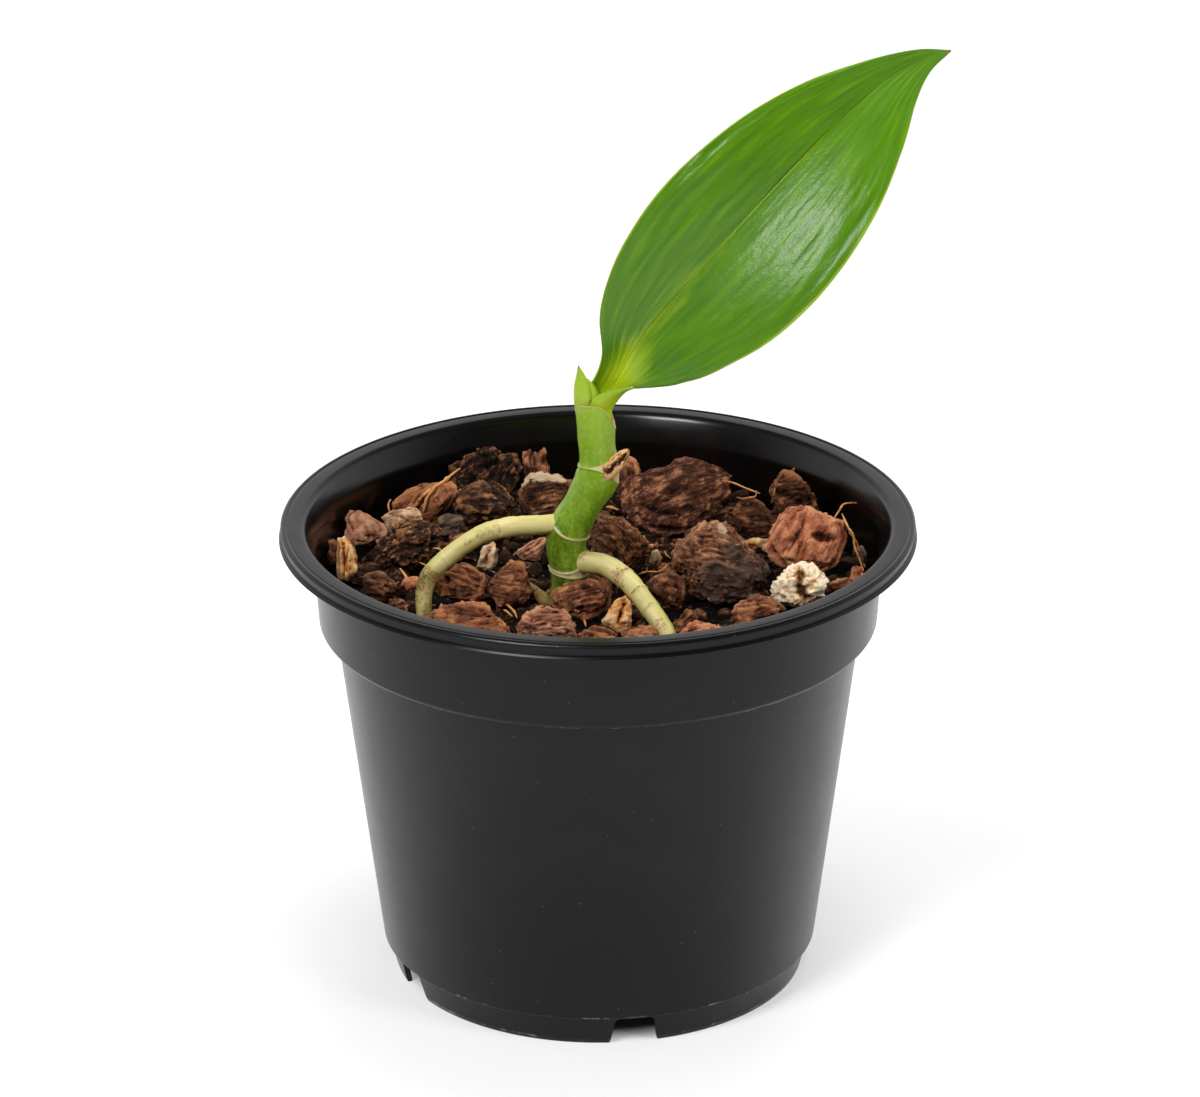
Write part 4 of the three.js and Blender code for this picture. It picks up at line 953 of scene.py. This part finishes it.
# Bark chips
# A shape says how rough a chip is, in mm. Its folds, broken facets, fibres and pits each have a depth and a
# size. Then come the depth of the layers on its edges, and how many of its sides are sheared flat
BARK_SHAPES = {
    "crumbly": ((0.8, 3.5), (1.2, 3), (0.15, 0.6), (0.35, 1.3), 0.2, 16),
    "fibrous": ((0.6, 4.5), (0.9, 4.2), (0.35, 0.55), (0, 2), 0.5, 14),
    "slab": ((0.3, 4), (0.6, 4.5), (0.06, 0.7), (0.15, 1.5), 0.4, 6),
    "plain": ((0.5, 5), (0.8, 4.5), (0.12, 0.7), (0, 2), 0.5, 14),
    "sliver": ((0.2, 4), (0.35, 3.5), (0.3, 0.8), (0.12, 1.3), 0.2, 3),
    "pumice": ((1.1, 2.6), (0.9, 2.2), (0, 1), (0.5, 1.2), 0, 16),
}
# Each chip's shape, its finish, and the turn of its fibre in degrees
CHIPS = {
    "bark_charcoal_right": ("crumbly", "half_charred", 20),
    "bark_rust_right": ("slab", "rust", 60),
    "bark_slab_back": ("slab", "slab", 10),
    "pumice_lump": ("pumice", "pumice", 0),
    "bark_charcoal_left": ("crumbly", "charred", 30),
    "bark_front_left": ("fibrous", "rust_red", 0),
    "bark_front_middle": ("fibrous", "mauve", 10),
    "bark_by_stem_front": ("fibrous", "red", 20),
    "bark_ochre_front": ("sliver", "ochre", 40),
    "bark_fibrous_left": ("fibrous", "red", -20),
    "bark_fibrous_middle": ("fibrous", "red", 60),
    "bark_dark_by_stem": ("crumbly", "umber", 0),
    "bark_charcoal_back_left": ("crumbly", "charred", 0),
    "bark_orange_back_left": ("plain", "rust_red", 30),
    "bark_mauve_left": ("plain", "mauve", -40),
    "bark_ochre_left": ("sliver", "ochre", 0),
    "bark_beige_left": ("sliver", "beige", 0),
    "bark_crusted_back": ("fibrous", "umber", 0),
    "bark_peaked_right": ("plain", "umber", 30),
    "bark_dark_back_right": ("fibrous", "umber", 60),
    "bark_dark_back_left": ("crumbly", "sooty", 0),
    "bark_streaked_back": ("fibrous", "sooty", 0),
    "bark_horned_back": ("fibrous", "red", 0),
    "bark_reddish_back": ("plain", "red", 0),
    "bark_red_front_right": ("fibrous", "red", 0),
    "bark_behind_right_root": ("plain", "umber", 0),
    "bark_round_left": ("plain", "umber", 0),
    "bark_upright_tan": ("sliver", "beige", 0),
    "bark_grey_brown": ("sliver", "mauve", 0),
    "bark_blue_grey": ("plain", "slate", 0),
    "bark_red_sliver": ("sliver", "red", 0),
    "bark_front_right": ("fibrous", "rust", 0),
    "bark_grey_front_right": ("plain", "umber", 0),
    "bark_front_centre": ("fibrous", "rust_red", 0),
    "bark_front_root": ("fibrous", "red", 0),
    "bark_tan_crumb": ("sliver", "beige", 0),
    "bark_orange_right": ("plain", "rust", 0),
    "bark_red_right": ("plain", "rust_red", 0),
    "bark_twig_right": ("sliver", "ochre", 0),
    "bark_grey_rim_right": ("plain", "slate", 0),
    "bark_dark_rim_left": ("fibrous", "umber", 0),
    "bark_orange_curl": ("sliver", "rust", 0),
    "bark_small_left": ("plain", "umber", 0),
    "bark_front_band_1": ("fibrous", "red", 0),
    "bark_front_band_2": ("crumbly", "umber", 0),
    "bark_front_band_3": ("fibrous", "mauve", 0),
    "bark_front_band_4": ("fibrous", "red", 20),
    "bark_front_band_5": ("crumbly", "charred", 0),
    "bark_front_band_6": ("plain", "rust", 0),
    "bark_front_band_7": ("fibrous", "umber", 30),
}
# Deep hollows and open layers: [radius, depth, line]
HOLLOWS = {
    "bark_rust_right": [
        (1.3, 1.2, [(44.8, 8, 104.8), (44.9, 4.3, 103.3), (44, 2, 100.7), (42.8, 1.4, 99.3)]),
        (1.4, 1.1, [(48, 1.7, 100.5), (49.9, 1.8, 100), (52, 2, 99.7)]),
        (0.9, 1.2, [(37.6, 3, 98), (38.5, 2.3, 96.5), (40.5, 1.1, 94.6), (42, 0.5, 92)]),
        (0.8, 1.4, [(53, 5, 99), (53, 2, 96), (51.5, 0.5, 93.5), (47, 0, 91.5)]),
    ],
    "bark_slab_back": [
        (0.8, 1, [(8, 25.5, 93.8), (12.8, 25, 92.8), (17.2, 24.5, 92.7), (21.5, 24.6, 93)]),
        (0.8, 0.8, [(10, 28, 97.5), (14, 26.8, 96), (18, 26.4, 95.8)]),
    ],
    "bark_ochre_front": [
        (0.7, 1.3, [(6.4, -27.5, 98.3), (5.3, -29.2, 96.8), (4.7, -30.3, 95.4), (4, -31.1, 93.6)]),
    ],
    "bark_ochre_left": [(0.7, 1.2, [(-56.2, 3, 97.5), (-56, 2.1, 95.1), (-55.5, 1.1, 92.6)])],
    "bark_upright_tan": [(0.6, 0.9, [(-23.2, 6.3, 97), (-24.5, 4.6, 94.8), (-25, 4, 93)])],
    "pumice_lump": [
        (1.5, 1.6, [(44, -17.8, 100.5), (43.5, -19.9, 97.9), (44.4, -20.3, 96.1), (45.6, -20, 94.4)]),
    ],
}
# Where pale crust covers a chip: [x, y, z, radius] spots in mm
CRUSTS = {
    "bark_crusted_back": [(-15.1, 37.3, 101.5, 3.4), (-16.6, 36.3, 99.7, 3), (-13, 36, 102.4, 3.6),
                          (-10.1, 35.8, 102.3, 3.2), (-7.8, 35, 101.8, 2.2)],
    "bark_charcoal_right": [(27.3, -4.6, 105, 1.6)],
}
# Where a chip shows its second colour all over: spots again
PATCHES = {
    "bark_charcoal_right": [(29.9, -9.1, 100.6, 4.6), (26, -12.5, 96.6, 6), (32, -12.3, 96, 6),
                            (24, -12.4, 92, 6), (30, -12.4, 92, 7), (34.2, -10.4, 95, 6),
                            (37, -6, 97, 6)],
}
# Bark finishes, from the charred outer face to the pale inner bark: the record's slot, the colours of the
# crevices with painted shade, faces, ridges with painted highlights and flecks, then the second colour, how
# strongly it shows, and how streaked it is
BARK_FINISHES = {
    "charred": ("bark_charcoal", "#060403", "#241812", "#503727", "#b07a50", "#40241a", 0.7, 0.5),
    "sooty": ("bark_charcoal", "#040302", "#150d09", "#302015", "#8a5a3a", "#22140e", 0.6, 0.5),
    "umber": ("bark_brown", "#0b0503", "#42261a", "#784b32", "#b0764e", "#2f2019", 0.6, 0.6),
    "half_charred": ("bark_charcoal", "#120806", "#57321f", "#926047", "#c08c64", "#4f3d33", 0.1, 0.6),
    "red": ("bark_brown", "#140805", "#5b321f", "#9a6144", "#c28257", "#4f342a", 0.6, 0.7),
    "slab": ("bark_brown", "#120704", "#3e2216", "#62392a", "#b67a56", "#321c13", 0.6, 0.25),
    "rust_red": ("bark_rust", "#1b0b06", "#7a442c", "#ae6d4b", "#ca8e59", "#5b3a2a", 0.6, 0.4),
    "rust": ("bark_rust", "#30120a", "#ac5d40", "#d98a63", "#e6a878", "#8a523a", 0.6, 0.2),
    "mauve": ("bark_brown", "#241109", "#955c46", "#cf926f", "#d6a684", "#805845", 0.6, 0.4),
    "slate": ("bark_charcoal", "#0a0807", "#413029", "#6b584c", "#86694f", "#40302a", 0.6, 0.3),
    "ochre": ("bark_tan", "#3a1d0b", "#cc8040", "#f2b674", "#f0cfa0", "#8f6034", 0.6, 0.6),
    "beige": ("bark_tan", "#3c2417", "#c9946c", "#efc69c", "#f0d6b6", "#8d6650", 0.6, 0.6),
}
# How fine the meshes of the chips are, in mm
VOXEL = 0.34


def make_finishes():
    """Every finish of the chips, each as its material and its slot."""
    finishes = {name: (pine_bark("pine_bark_" + name, *colours), slot)
                for name, (slot, *colours) in BARK_FINISHES.items()}
    finishes["pumice"] = (pumice_stone(), "pumice")
    return finishes


def fine_copy(node):
    """A node's shape as an even mesh of small faces, in mm: its points, normals and faces."""
    copy = bpy.data.objects.new("fine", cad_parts[node].data.copy())
    bpy.context.scene.collection.objects.link(copy)
    remesh = copy.modifiers.new("even", "REMESH")
    remesh.mode = "VOXEL"
    remesh.voxel_size = VOXEL * MM
    graph = bpy.context.evaluated_depsgraph_get()
    mesh = bpy.data.meshes.new_from_object(copy.evaluated_get(graph))
    count = len(mesh.vertices)
    points = np.empty(count * 3, np.float32)
    mesh.vertices.foreach_get("co", points)
    normals = np.empty(count * 3, np.float32)
    mesh.vertices.foreach_get("normal", normals)
    faces = [list(polygon.vertices) for polygon in mesh.polygons]
    bpy.data.objects.remove(copy)
    bpy.data.meshes.remove(mesh)
    points = (points.reshape(-1, 3).astype(float) - AXIS) / MM
    return points, normals.reshape(-1, 3).astype(float), faces


def chip_axes(points):
    """A chip's length, breadth and thickness directions."""
    _, axes = np.linalg.eigh(np.cov((points - points.mean(0)).T))
    axes = axes[:, ::-1]
    return axes * np.sign(axes[np.abs(axes).argmax(0), range(3)])


def terraces(values):
    """Steps with steep sides, as broken layers have."""
    return np.floor(values) + smoothstep(0.3, 0.7, values - np.floor(values))


def spread(values):
    """Brings noise to a mean of nought and mostly between -1 and 1."""
    return np.clip((values - values.mean()) / (2 * values.std() + 1e-9), -1.3, 1.3)


def along_line(points, line, radius):
    """How near each point is to a line, from 1 on it to 0 at the radius."""
    steps = np.linspace(0, 1, 12, endpoint=False)[:, None]
    corners = np.array(line)
    places = np.vstack([a + (b - a) * steps for a, b in zip(corners, corners[1:])])
    distance = np.min([np.linalg.norm(points - place, axis=1) for place in places], axis=0)
    return 1 - smoothstep(0.15 * radius, radius, distance)


def broken_facets(places):
    """The height, from about -1 to 1, of a surface broken into flat leaning facets one unit wide."""
    found = [noise.voronoi(place) for place in places.tolist()]
    distances = np.array([near[:2] for near, _ in found])
    cells = np.array([[tuple(cell) for cell in cells[:2]] for _, cells in found])
    chance = np.sin(cells @ np.array([[12.9, 39.3, 73.1], [78.2, 11.1, 52.2], [37.7, 83.1, 9.4]])) * 437.5
    lean = 2 * (chance - np.floor(chance)) - 1
    heights = 0.5 * lean[..., 0] + np.sum(lean * (places[:, None] - cells), axis=-1)
    share = 0.5 + 0.5 * smoothstep(0, 0.12, distances[:, 1] - distances[:, 0])
    return heights[:, 0] * share + heights[:, 1] * (1 - share)


def weather(points, normals, shape, turn, seed, hollows=()):
    """Roughens a chip. Returns its new points, its own fibre places in mm, and its relief from 0 to 1."""
    folds, facets, fibres, pits, layer_depth, cuts = shape
    rng = random.Random(seed)
    axes = chip_axes(points)
    turn = math.radians(turn)
    spin = np.array([[math.cos(turn), -math.sin(turn), 0], [math.sin(turn), math.cos(turn), 0], [0, 0, 1]])
    middle = points.mean(0)
    local = (points - middle) @ axes @ spin + rng.uniform(10, 90)
    edge = 1 - np.abs(normals @ axes[:, 2])
    bent = local + 0.9 * read_noise(noise.noise_vector, local / 6)

    # Coarse: rolling folds and broken facets, then whole sides sheared flat
    depth, size = folds
    fold = depth * spread(read_noise(noise.fractal, bent / [1.6 * size, size, size], 0.9, 2.1, 4))
    depth, size = facets
    facet = depth * broken_facets(bent / [1.5 * size, size, 0.7 * size])
    chipped = 0.5 * depth * broken_facets(bent / [0.45 * size, 0.32 * size, 0.3 * size] + 20)
    coarse = points + normals * (0.5 * fold + 0.9 * facet)[:, None]
    extent = np.ptp(points, axis=0).max()
    for _ in range(cuts):
        way = unit(np.array([rng.gauss(0, 1), rng.gauss(-0.3, 1), rng.gauss(0.4, 1)]))
        reach = (coarse - middle) @ way
        over = np.maximum(reach - reach.max() + extent * rng.uniform(0.015, 0.07), 0)
        coarse = coarse - way * (0.85 * over)[:, None]

    # Fine: fibres, layers seen on the edges, pits, and the listed hollows
    depth, size = fibres
    fibre = depth * spread(read_noise(noise.fractal, bent / [size * 7, size, size], 0.8, 2.0, 2))
    layers = local[:, 2] / 1.2 + 0.6 * read_noise(noise.noise, local / 3)
    layer = (terraces(layers) - layers) * layer_depth * edge * 1.6
    depth, size = pits
    pit = 0
    if depth:
        nearest = read_noise(lambda place: noise.voronoi(place)[0][0], bent / size)
        pit = -depth * (1 - smoothstep(0.1, 0.5, nearest))
    hollow = np.zeros(len(points))
    for radius, depth, line in hollows:
        hollow = np.maximum(hollow, depth * along_line(points, line, radius))
    fine = 0.6 * (fibre + layer + pit) + chipped - hollow
    # The relief is low in the folds and hollows and high on the ridges; the bark's materials turn it into
    # painted shade and highlights
    relief = 0.5 + 0.2 * spread(fold + facet) + 0.2 * spread(chipped) + 0.2 * spread(fibre)
    relief += 0.12 * spread(layer) - 0.35 * hollow
    return coarse + normals * fine[:, None], bent, np.clip(relief, 0, 1)


def make_chips(finishes):
    """Every chip that has a node of its own."""
    chips = []
    for seed, (name, (shape, finish, turn)) in enumerate(CHIPS.items()):
        points, normals, faces = fine_copy(name)
        weathered, grain, relief = weather(
            points, normals, BARK_SHAPES[shape], turn, seed, HOLLOWS.get(name, ())
        )
        marks = {
            "grain": grain,
            "relief": relief,
            "patch": spots(points, PATCHES.get(name, [])),
            "crust": spots(points, CRUSTS.get(name, [])),
        }
        material, slot = finishes[finish]
        chips.append(add_piece(name + "_chip", weathered, faces, [material], [name], marks))
    return chips


# The bark below the surface: its level, its wall as [radius, height] from the foot up, and the small
# chips that fill the gaps, painted dark as shade
BED_LEVEL = 88.5
BED_WALL = [(46.9, 8.6), (56.2, 82.5), (59.8, 85), (60, 87.5)]
FILLERS = 130
FILLER_TOP = 92.4


def lump_of_bark(centre, size, subdivisions, rng):
    """A rough pebble of bark: a sphere of small faces, squashed, turned and broken into facets."""
    ball = bpy.data.meshes.new("ball")
    shell = bmesh.new()
    bmesh.ops.create_icosphere(shell, subdivisions=subdivisions, radius=1)
    shell.to_mesh(ball)
    shell.free()
    points = np.array([v.co for v in ball.vertices])
    faces = [list(p.vertices) for p in ball.polygons]
    bpy.data.meshes.remove(ball)
    offset = rng.uniform(5, 95)
    facets = read_noise(lambda place: noise.voronoi(place)[0][0], points * 0.9 + offset)
    points = points * (0.75 + 0.45 * facets)[:, None]
    spin = Matrix.Rotation(rng.uniform(0, 6.28), 3, "Z") @ Matrix.Rotation(rng.uniform(-0.6, 0.6), 3, "X")
    spin = np.array(spin @ Matrix.Rotation(rng.uniform(-0.6, 0.6), 3, "Y"))
    points = (points * size) @ spin.T
    normals = unit(points)
    return points + centre, normals, faces


def make_bed(material):
    """What lies under the surface chips, as one piece: a deep bed with small chips on it."""
    rng = random.Random(7)
    rows, sides = 90, 150
    radii = np.linspace(60, 0.5, rows)
    turns = np.linspace(0, 2 * math.pi, sides, endpoint=False)
    x, y = np.outer(radii, np.cos(turns)), np.outer(radii, np.sin(turns))
    flat = np.column_stack([x.ravel() / 5, y.ravel() / 5, np.zeros(x.size)])
    z = BED_LEVEL + 1.3 * read_noise(noise.fractal, flat, 1.0, 2.0, 4).reshape(x.shape)
    top = np.stack([x, y, z], axis=-1)
    wall = [np.column_stack([r * np.cos(turns), r * np.sin(turns), np.full(sides, h)])
            for r, h in BED_WALL]
    points, faces = closed_rings(np.concatenate([np.array(wall), top]))
    # The bed's own surface gets no relief, so it takes the near-black of the crevices, as painted shade
    # between the chips
    shells, grains, reliefs = [(points, faces)], [points], [np.zeros(len(points))]
    for i in range(FILLERS):
        size = np.array([rng.uniform(3, 5.4), rng.uniform(2.4, 4), rng.uniform(1.8, 2.8)])
        radius = (58.5 - size[0]) * math.sqrt(rng.uniform(0, 1))
        turn = rng.uniform(0, 2 * math.pi)
        centre = np.array([radius * math.cos(turn), radius * math.sin(turn), 0])
        centre[2] = FILLER_TOP - size[2] - rng.uniform(0, 1.6)
        points, normals, faces = lump_of_bark(centre, size, 4, rng)
        shape = BARK_SHAPES[rng.choice(["crumbly", "fibrous", "plain"])]
        points, grain, relief = weather(points, normals, shape, 0, 100 + i)
        shells.append((points, faces))
        grains.append(grain)
        reliefs.append(relief)
    points, faces = join_shells(shells)
    marks = {"grain": np.vstack(grains), "relief": np.concatenate(reliefs)}
    return add_piece("bark_below", points, faces, [material], ["bark_bed"], marks)


# Loose fibres that lie between the chips: half thickness, then points
FIBRES = [
    (0.45, [(-31, 38.5, 102), (-32.7, 37.5, 101), (-35, 35.2, 99.9), (-37.9, 32.2, 99.1),
            (-39.7, 31, 97.9), (-41, 30.4, 96)]),
    (0.35, [(-36, 34, 99.9), (-37, 32.3, 99.3), (-38.4, 31, 97.7), (-39.2, 30, 95)]),
    (0.2, [(-36.5, 5, 96.5), (-35, 4.2, 96.6), (-33.6, 3.8, 95.6)]),
    (0.2, [(-39.5, 3.5, 93.8), (-38.3, 3, 93.4), (-37.2, 2.5, 92.9)]),
    (0.25, [(-20.1, -17.2, 92.4), (-19.6, -18.6, 92.8), (-18.3, -20.3, 92.2), (-17.6, -23.5, 92)]),
    (0.22, [(-20.7, -18.6, 91.8), (-19.8, -21, 92.4), (-18.7, -22.7, 92)]),
    (0.25, [(-4.8, -23, 92), (-3.4, -24.4, 92.6), (-2.7, -27.9, 91.9)]),
    (0.2, [(28.8, 33.6, 100.6), (30.5, 33, 100.4), (32.6, 31.5, 100), (34.6, 30.8, 99.4),
           (36.4, 30.4, 98.9)]),
    (0.18, [(31.1, 28, 99), (32.4, 25.7, 99.6), (34, 25.2, 100.1), (35.2, 27, 99.6), (35.6, 30, 99.8)]),
    (0.2, [(40.1, 34, 101), (39.8, 32, 100), (39.5, 31.2, 98.6), (38.9, 31.5, 96)]),
    (0.4, [(44.2, 34.8, 103.2), (43.7, 35, 102.3), (43.1, 32.9, 101.5)]),
    (0.2, [(57.6, 19.6, 101), (56, 19, 101.2), (54.6, 18.3, 101.2), (53.7, 16.5, 100.6), (52.2, 9, 101.8)]),
    (0.28, [(53.9, 9.5, 102.6), (55.1, 6.3, 100.7), (56.3, 6, 98.7), (56.6, 5.5, 96.4), (57.4, 4.6, 94.5),
            (58.6, 3, 91.6)]),
    (0.2, [(55.3, 6, 99.6), (57, 6.6, 97), (58, 5.5, 94.2), (59, 4, 91.8)]),
    (0.18, [(8.8, -1, 92.6), (10.7, -0.5, 93), (13.3, 0.3, 92.7), (15.8, 3.5, 93.4)]),
    (0.15, [(10.6, -0.4, 92.6), (10.8, -0.6, 94.2)]),
    (0.3, [(1.8, 36, 93.5), (3.2, 36, 93.3), (4.6, 35.5, 92.9)]),
    (0.2, [(14.6, 9, 94), (15.3, 8, 93.2), (16.6, 7.5, 92.6)]),
    (0.25, [(-4, -25, 93.4), (-3.5, -24.2, 92.6), (-3.1, -26.4, 92.2)]),
    (0.25, [(-46.7, 36, 95.5), (-47.2, 35.5, 94.5), (-47, 34.5, 93.2)]),
    (0.35, [(-43.5, -2, 94.6), (-42.5, -3.4, 93.8), (-42, -5.4, 93.4), (-43, -7, 92.8)]),
    (0.3, [(-10, -18, 92.4), (-8.9, -18.4, 92.6), (-8, -19.2, 92.2)]),
    (0.35, [(-13.5, -18.9, 92.3), (-12.4, -18.5, 92.4), (-11.6, -18, 92.2)]),
]
LOOSE_FIBRES = 60
# Rays are cast down from above every chip, in mm
RAYS_FROM = 112


def surface_of(pieces):
    """Everything that loose bits can lie on, for casting rays down."""
    points, faces = join_shells(
        (np.array([v.co for v in piece.data.vertices]), [list(p.vertices) for p in piece.data.polygons])
        for piece in pieces
    )
    return BVHTree.FromPolygons(points.tolist(), faces)


def drop(surface, x, y, clear):
    """The point just above the surface at a place, in mm."""
    start = Vector((x * MM + AXIS[0], y * MM + AXIS[1], RAYS_FROM * MM))
    hit = surface.ray_cast(start, Vector((0, 0, -1)))[0]
    return np.array([x, y, hit.z / MM + clear]) if hit else None


def make_fibres(surface):
    """The listed fibres, and more that wander over the chips where they fell."""
    rng = random.Random(11)
    strands = list(FIBRES)
    while len(strands) < len(FIBRES) + LOOSE_FIBRES:
        radius, turn = 56 * math.sqrt(rng.random()), rng.uniform(0, 2 * math.pi)
        x, y = radius * math.cos(turn), radius * math.sin(turn)
        heading = rng.uniform(0, 2 * math.pi)
        laid = []
        for _ in range(rng.randint(3, 6)):
            spot = drop(surface, x, y, 0.15)
            if spot is None or math.hypot(x, y) > 59 or spot[2] > 96:
                break
            laid.append(spot)
            heading += rng.uniform(-0.8, 0.8)
            x += 1.3 * math.cos(heading)
            y += 1.3 * math.sin(heading)
        heights = [spot[2] for spot in laid]
        if len(laid) > 2 and max(heights) - min(heights) < 2.5:
            strands.append((rng.uniform(0.08, 0.16), laid))
    shells = []
    for half, path in strands:
        rows, sides = 6 * len(path), 8
        route = Route(path, 60)
        places = np.repeat(np.linspace(0, 1, rows)[:, None], sides, axis=1)
        wobble = read_noise(noise.noise, route.read(route.centre, places[:, 0]) / 0.8)
        taper = np.sqrt(np.clip(np.sin(np.pi * (0.06 + 0.88 * places)), 0, 1))
        radii = half * taper * (1 + 0.5 * wobble[:, None])
        shells.append(closed_rings(route.rings(places, radii, sides)))
    points, faces = join_shells(shells)
    relief = 0.55 + 0.4 * read_noise(noise.noise, points / 3)
    tissue = dried_plant_tissue("bark_fibre", "#3a1a0a", "#8f4c20", "#c98f57")
    add_piece("bark_fibres", points, faces, [tissue], marks={"relief": relief})


# Bits between the chips: [name, finish, seed, count, smallest, largest, subdivisions, highest]
BITS = [
    # The gap lumps take the near-black charred finish as painted shade in the gaps between the chips
    ("gap_lumps", "charred", 20, 230, 1.0, 2.6, 3, 93),
    ("rust_crumbs", "rust", 21, 130, 0.35, 1.0, 2, 94.5),
    ("dark_crumbs", "umber", 22, 170, 0.35, 1.1, 2, 93.2),
]


def make_crumbs(surface, finishes):
    """Crumbs and small lumps broken off the chips, each lying where it fell."""
    for name, finish, seed, count, smallest, largest, subdivisions, highest in BITS:
        rng = random.Random(seed)
        shells, grains, reliefs = [], [], []
        while len(shells) < count:
            radius, turn = 58.5 * math.sqrt(rng.random()), rng.uniform(0, 2 * math.pi)
            spot = drop(surface, radius * math.cos(turn), radius * math.sin(turn), 0)
            if spot is None or spot[2] > highest:
                continue
            length = rng.uniform(smallest, largest)
            size = length * np.array([1, rng.uniform(0.5, 0.9), rng.uniform(0.4, 0.7)])
            spot[2] += 0.3 * size[2]
            points, _, faces = lump_of_bark(spot, size, subdivisions, rng)
            shells.append((points, faces))
            grains.append(points + rng.uniform(0, 50))
            reliefs.append(np.full(len(points), rng.uniform(0.2, 0.7)))
        points, faces = join_shells(shells)
        material, slot = finishes[finish]
        marks = {"grain": np.vstack(grains), "relief": np.concatenate(reliefs)}
        add_piece(name, points, faces, [material], marks=marks)


# Studio


def make_camera():
    data = bpy.data.cameras.new("camera")
    data.lens = CAMERA_LENS
    data.sensor_width = 36
    data.clip_start = 0.05
    data.clip_end = 20
    camera = bpy.data.objects.new("camera", data)
    turn = Matrix.Rotation(CAMERA_YAW, 4, "Z") @ Matrix.Rotation(math.pi / 2 - CAMERA_PITCH, 4, "X")
    turn = turn @ Matrix.Rotation(CAMERA_ROLL, 4, "Z")
    camera.matrix_world = Matrix.Translation(Vector(CAMERA_PLACE) * MM + Vector(AXIS)) @ turn
    bpy.context.scene.collection.objects.link(camera)
    bpy.context.scene.camera = camera


def make_floor():
    reach = 6
    mesh = bpy.data.meshes.new("studio_floor")
    corners = [(-reach, -reach, 0), (reach, -reach, 0), (reach, reach, 0), (-reach, reach, 0)]
    mesh.from_pydata(corners, [], [(0, 1, 2, 3)])
    mesh.materials.append(studio_paper())
    floor = bpy.data.objects.new("studio_floor", mesh)
    bpy.context.scene.collection.objects.link(floor)


def light_room():
    """The room is white to the eye. Its light comes from low at the back and the sides, where the backdrop
    is, and there is little from above and least from the front."""
    world = bpy.data.worlds.new("studio")
    bpy.context.scene.world = world
    world.use_nodes = True
    tree = world.node_tree
    tree.nodes.clear()
    heading = add(tree, "TexCoord", output="Generated")
    forwards = add(tree, "SeparateXYZ", {"Vector": heading}, output="Y")
    upwards = add(tree, "SeparateXYZ", {"Vector": heading}, output="Z")
    backdrop = add(tree, "MapRange",
                   {"Value": forwards, "From Min": -0.55, "From Max": 0.15, "To Min": 0.12, "To Max": 1.05},
                   interpolation_type="SMOOTHSTEP")
    ceiling = add(tree, "MapRange",
                  {"Value": upwards, "From Min": 0.45, "From Max": 0.75, "To Min": 1.0, "To Max": 0.15},
                  interpolation_type="SMOOTHSTEP")
    glow = add(tree, "Math", {0: backdrop, 1: ceiling}, operation="MULTIPLY")
    direct = add(tree, "LightPath", output="Is Camera Ray")
    strength = add(tree, "Mix", {0: direct, 2: glow, 3: 1.0})
    background = add(tree, "Background", {"Color": "#ffffff", "Strength": strength})
    add(tree, "OutputWorld", {"Surface": background})


# Softboxes in the frame, in metres and watts: [name, place, width, power, whether it shows in gloss]
SOFTBOXES = [
    ("key_softbox", (-0.78, -1.12, 1.5), 0.6, 26, True),
    ("fill_softbox", (1.0, -0.75, 1.0), 0.5, 8, False),
    ("top_softbox", (0.1, 0.35, 1.5), 0.8, 16, False),
]
SOFTBOX_AIM = Vector((0, 0, 0.1))


def make_softboxes():
    for name, place, width, power, gleams in SOFTBOXES:
        data = bpy.data.lights.new(name, "AREA")
        data.shape = "SQUARE"
        data.size = width
        data.energy = power
        light = bpy.data.objects.new(name, data)
        light.location = place
        light.rotation_euler = (SOFTBOX_AIM - Vector(place)).to_track_quat("-Z", "Y").to_euler()
        light.visible_camera = False
        light.visible_glossy = gleams
        bpy.context.scene.collection.objects.link(light)


make_camera()
make_floor()
light_room()
make_softboxes()
bpy.context.scene.view_settings.view_transform = "Standard"
make_pot()
make_stem()
# Each velamen's second colour paints both its stripes and the shade towards the back of the root
pale_root = velamen_skin("velamen_pale", "#d3c68a", "#a7a048", "#8a5527", "#4a3a1c")
olive_root = velamen_skin("velamen_olive", "#84772f", "#4b451a", "#5c3a1c", "#241a0e")
make_root("aerial_root_left", pale_root)
make_root("aerial_root_right", pale_root)
make_root("foot_root", olive_root)
make_shoot()
make_stub()
make_leaf()
bark_finishes = make_finishes()
chips = make_chips(bark_finishes)
# The bed and its filler chips take the near-black sooty finish as painted shade in the gaps between the
# chips
bed = make_bed(bark_finishes["sooty"][0])
ground = surface_of([*chips, bed])
make_fibres(ground)
make_crumbs(ground, bark_finishes)
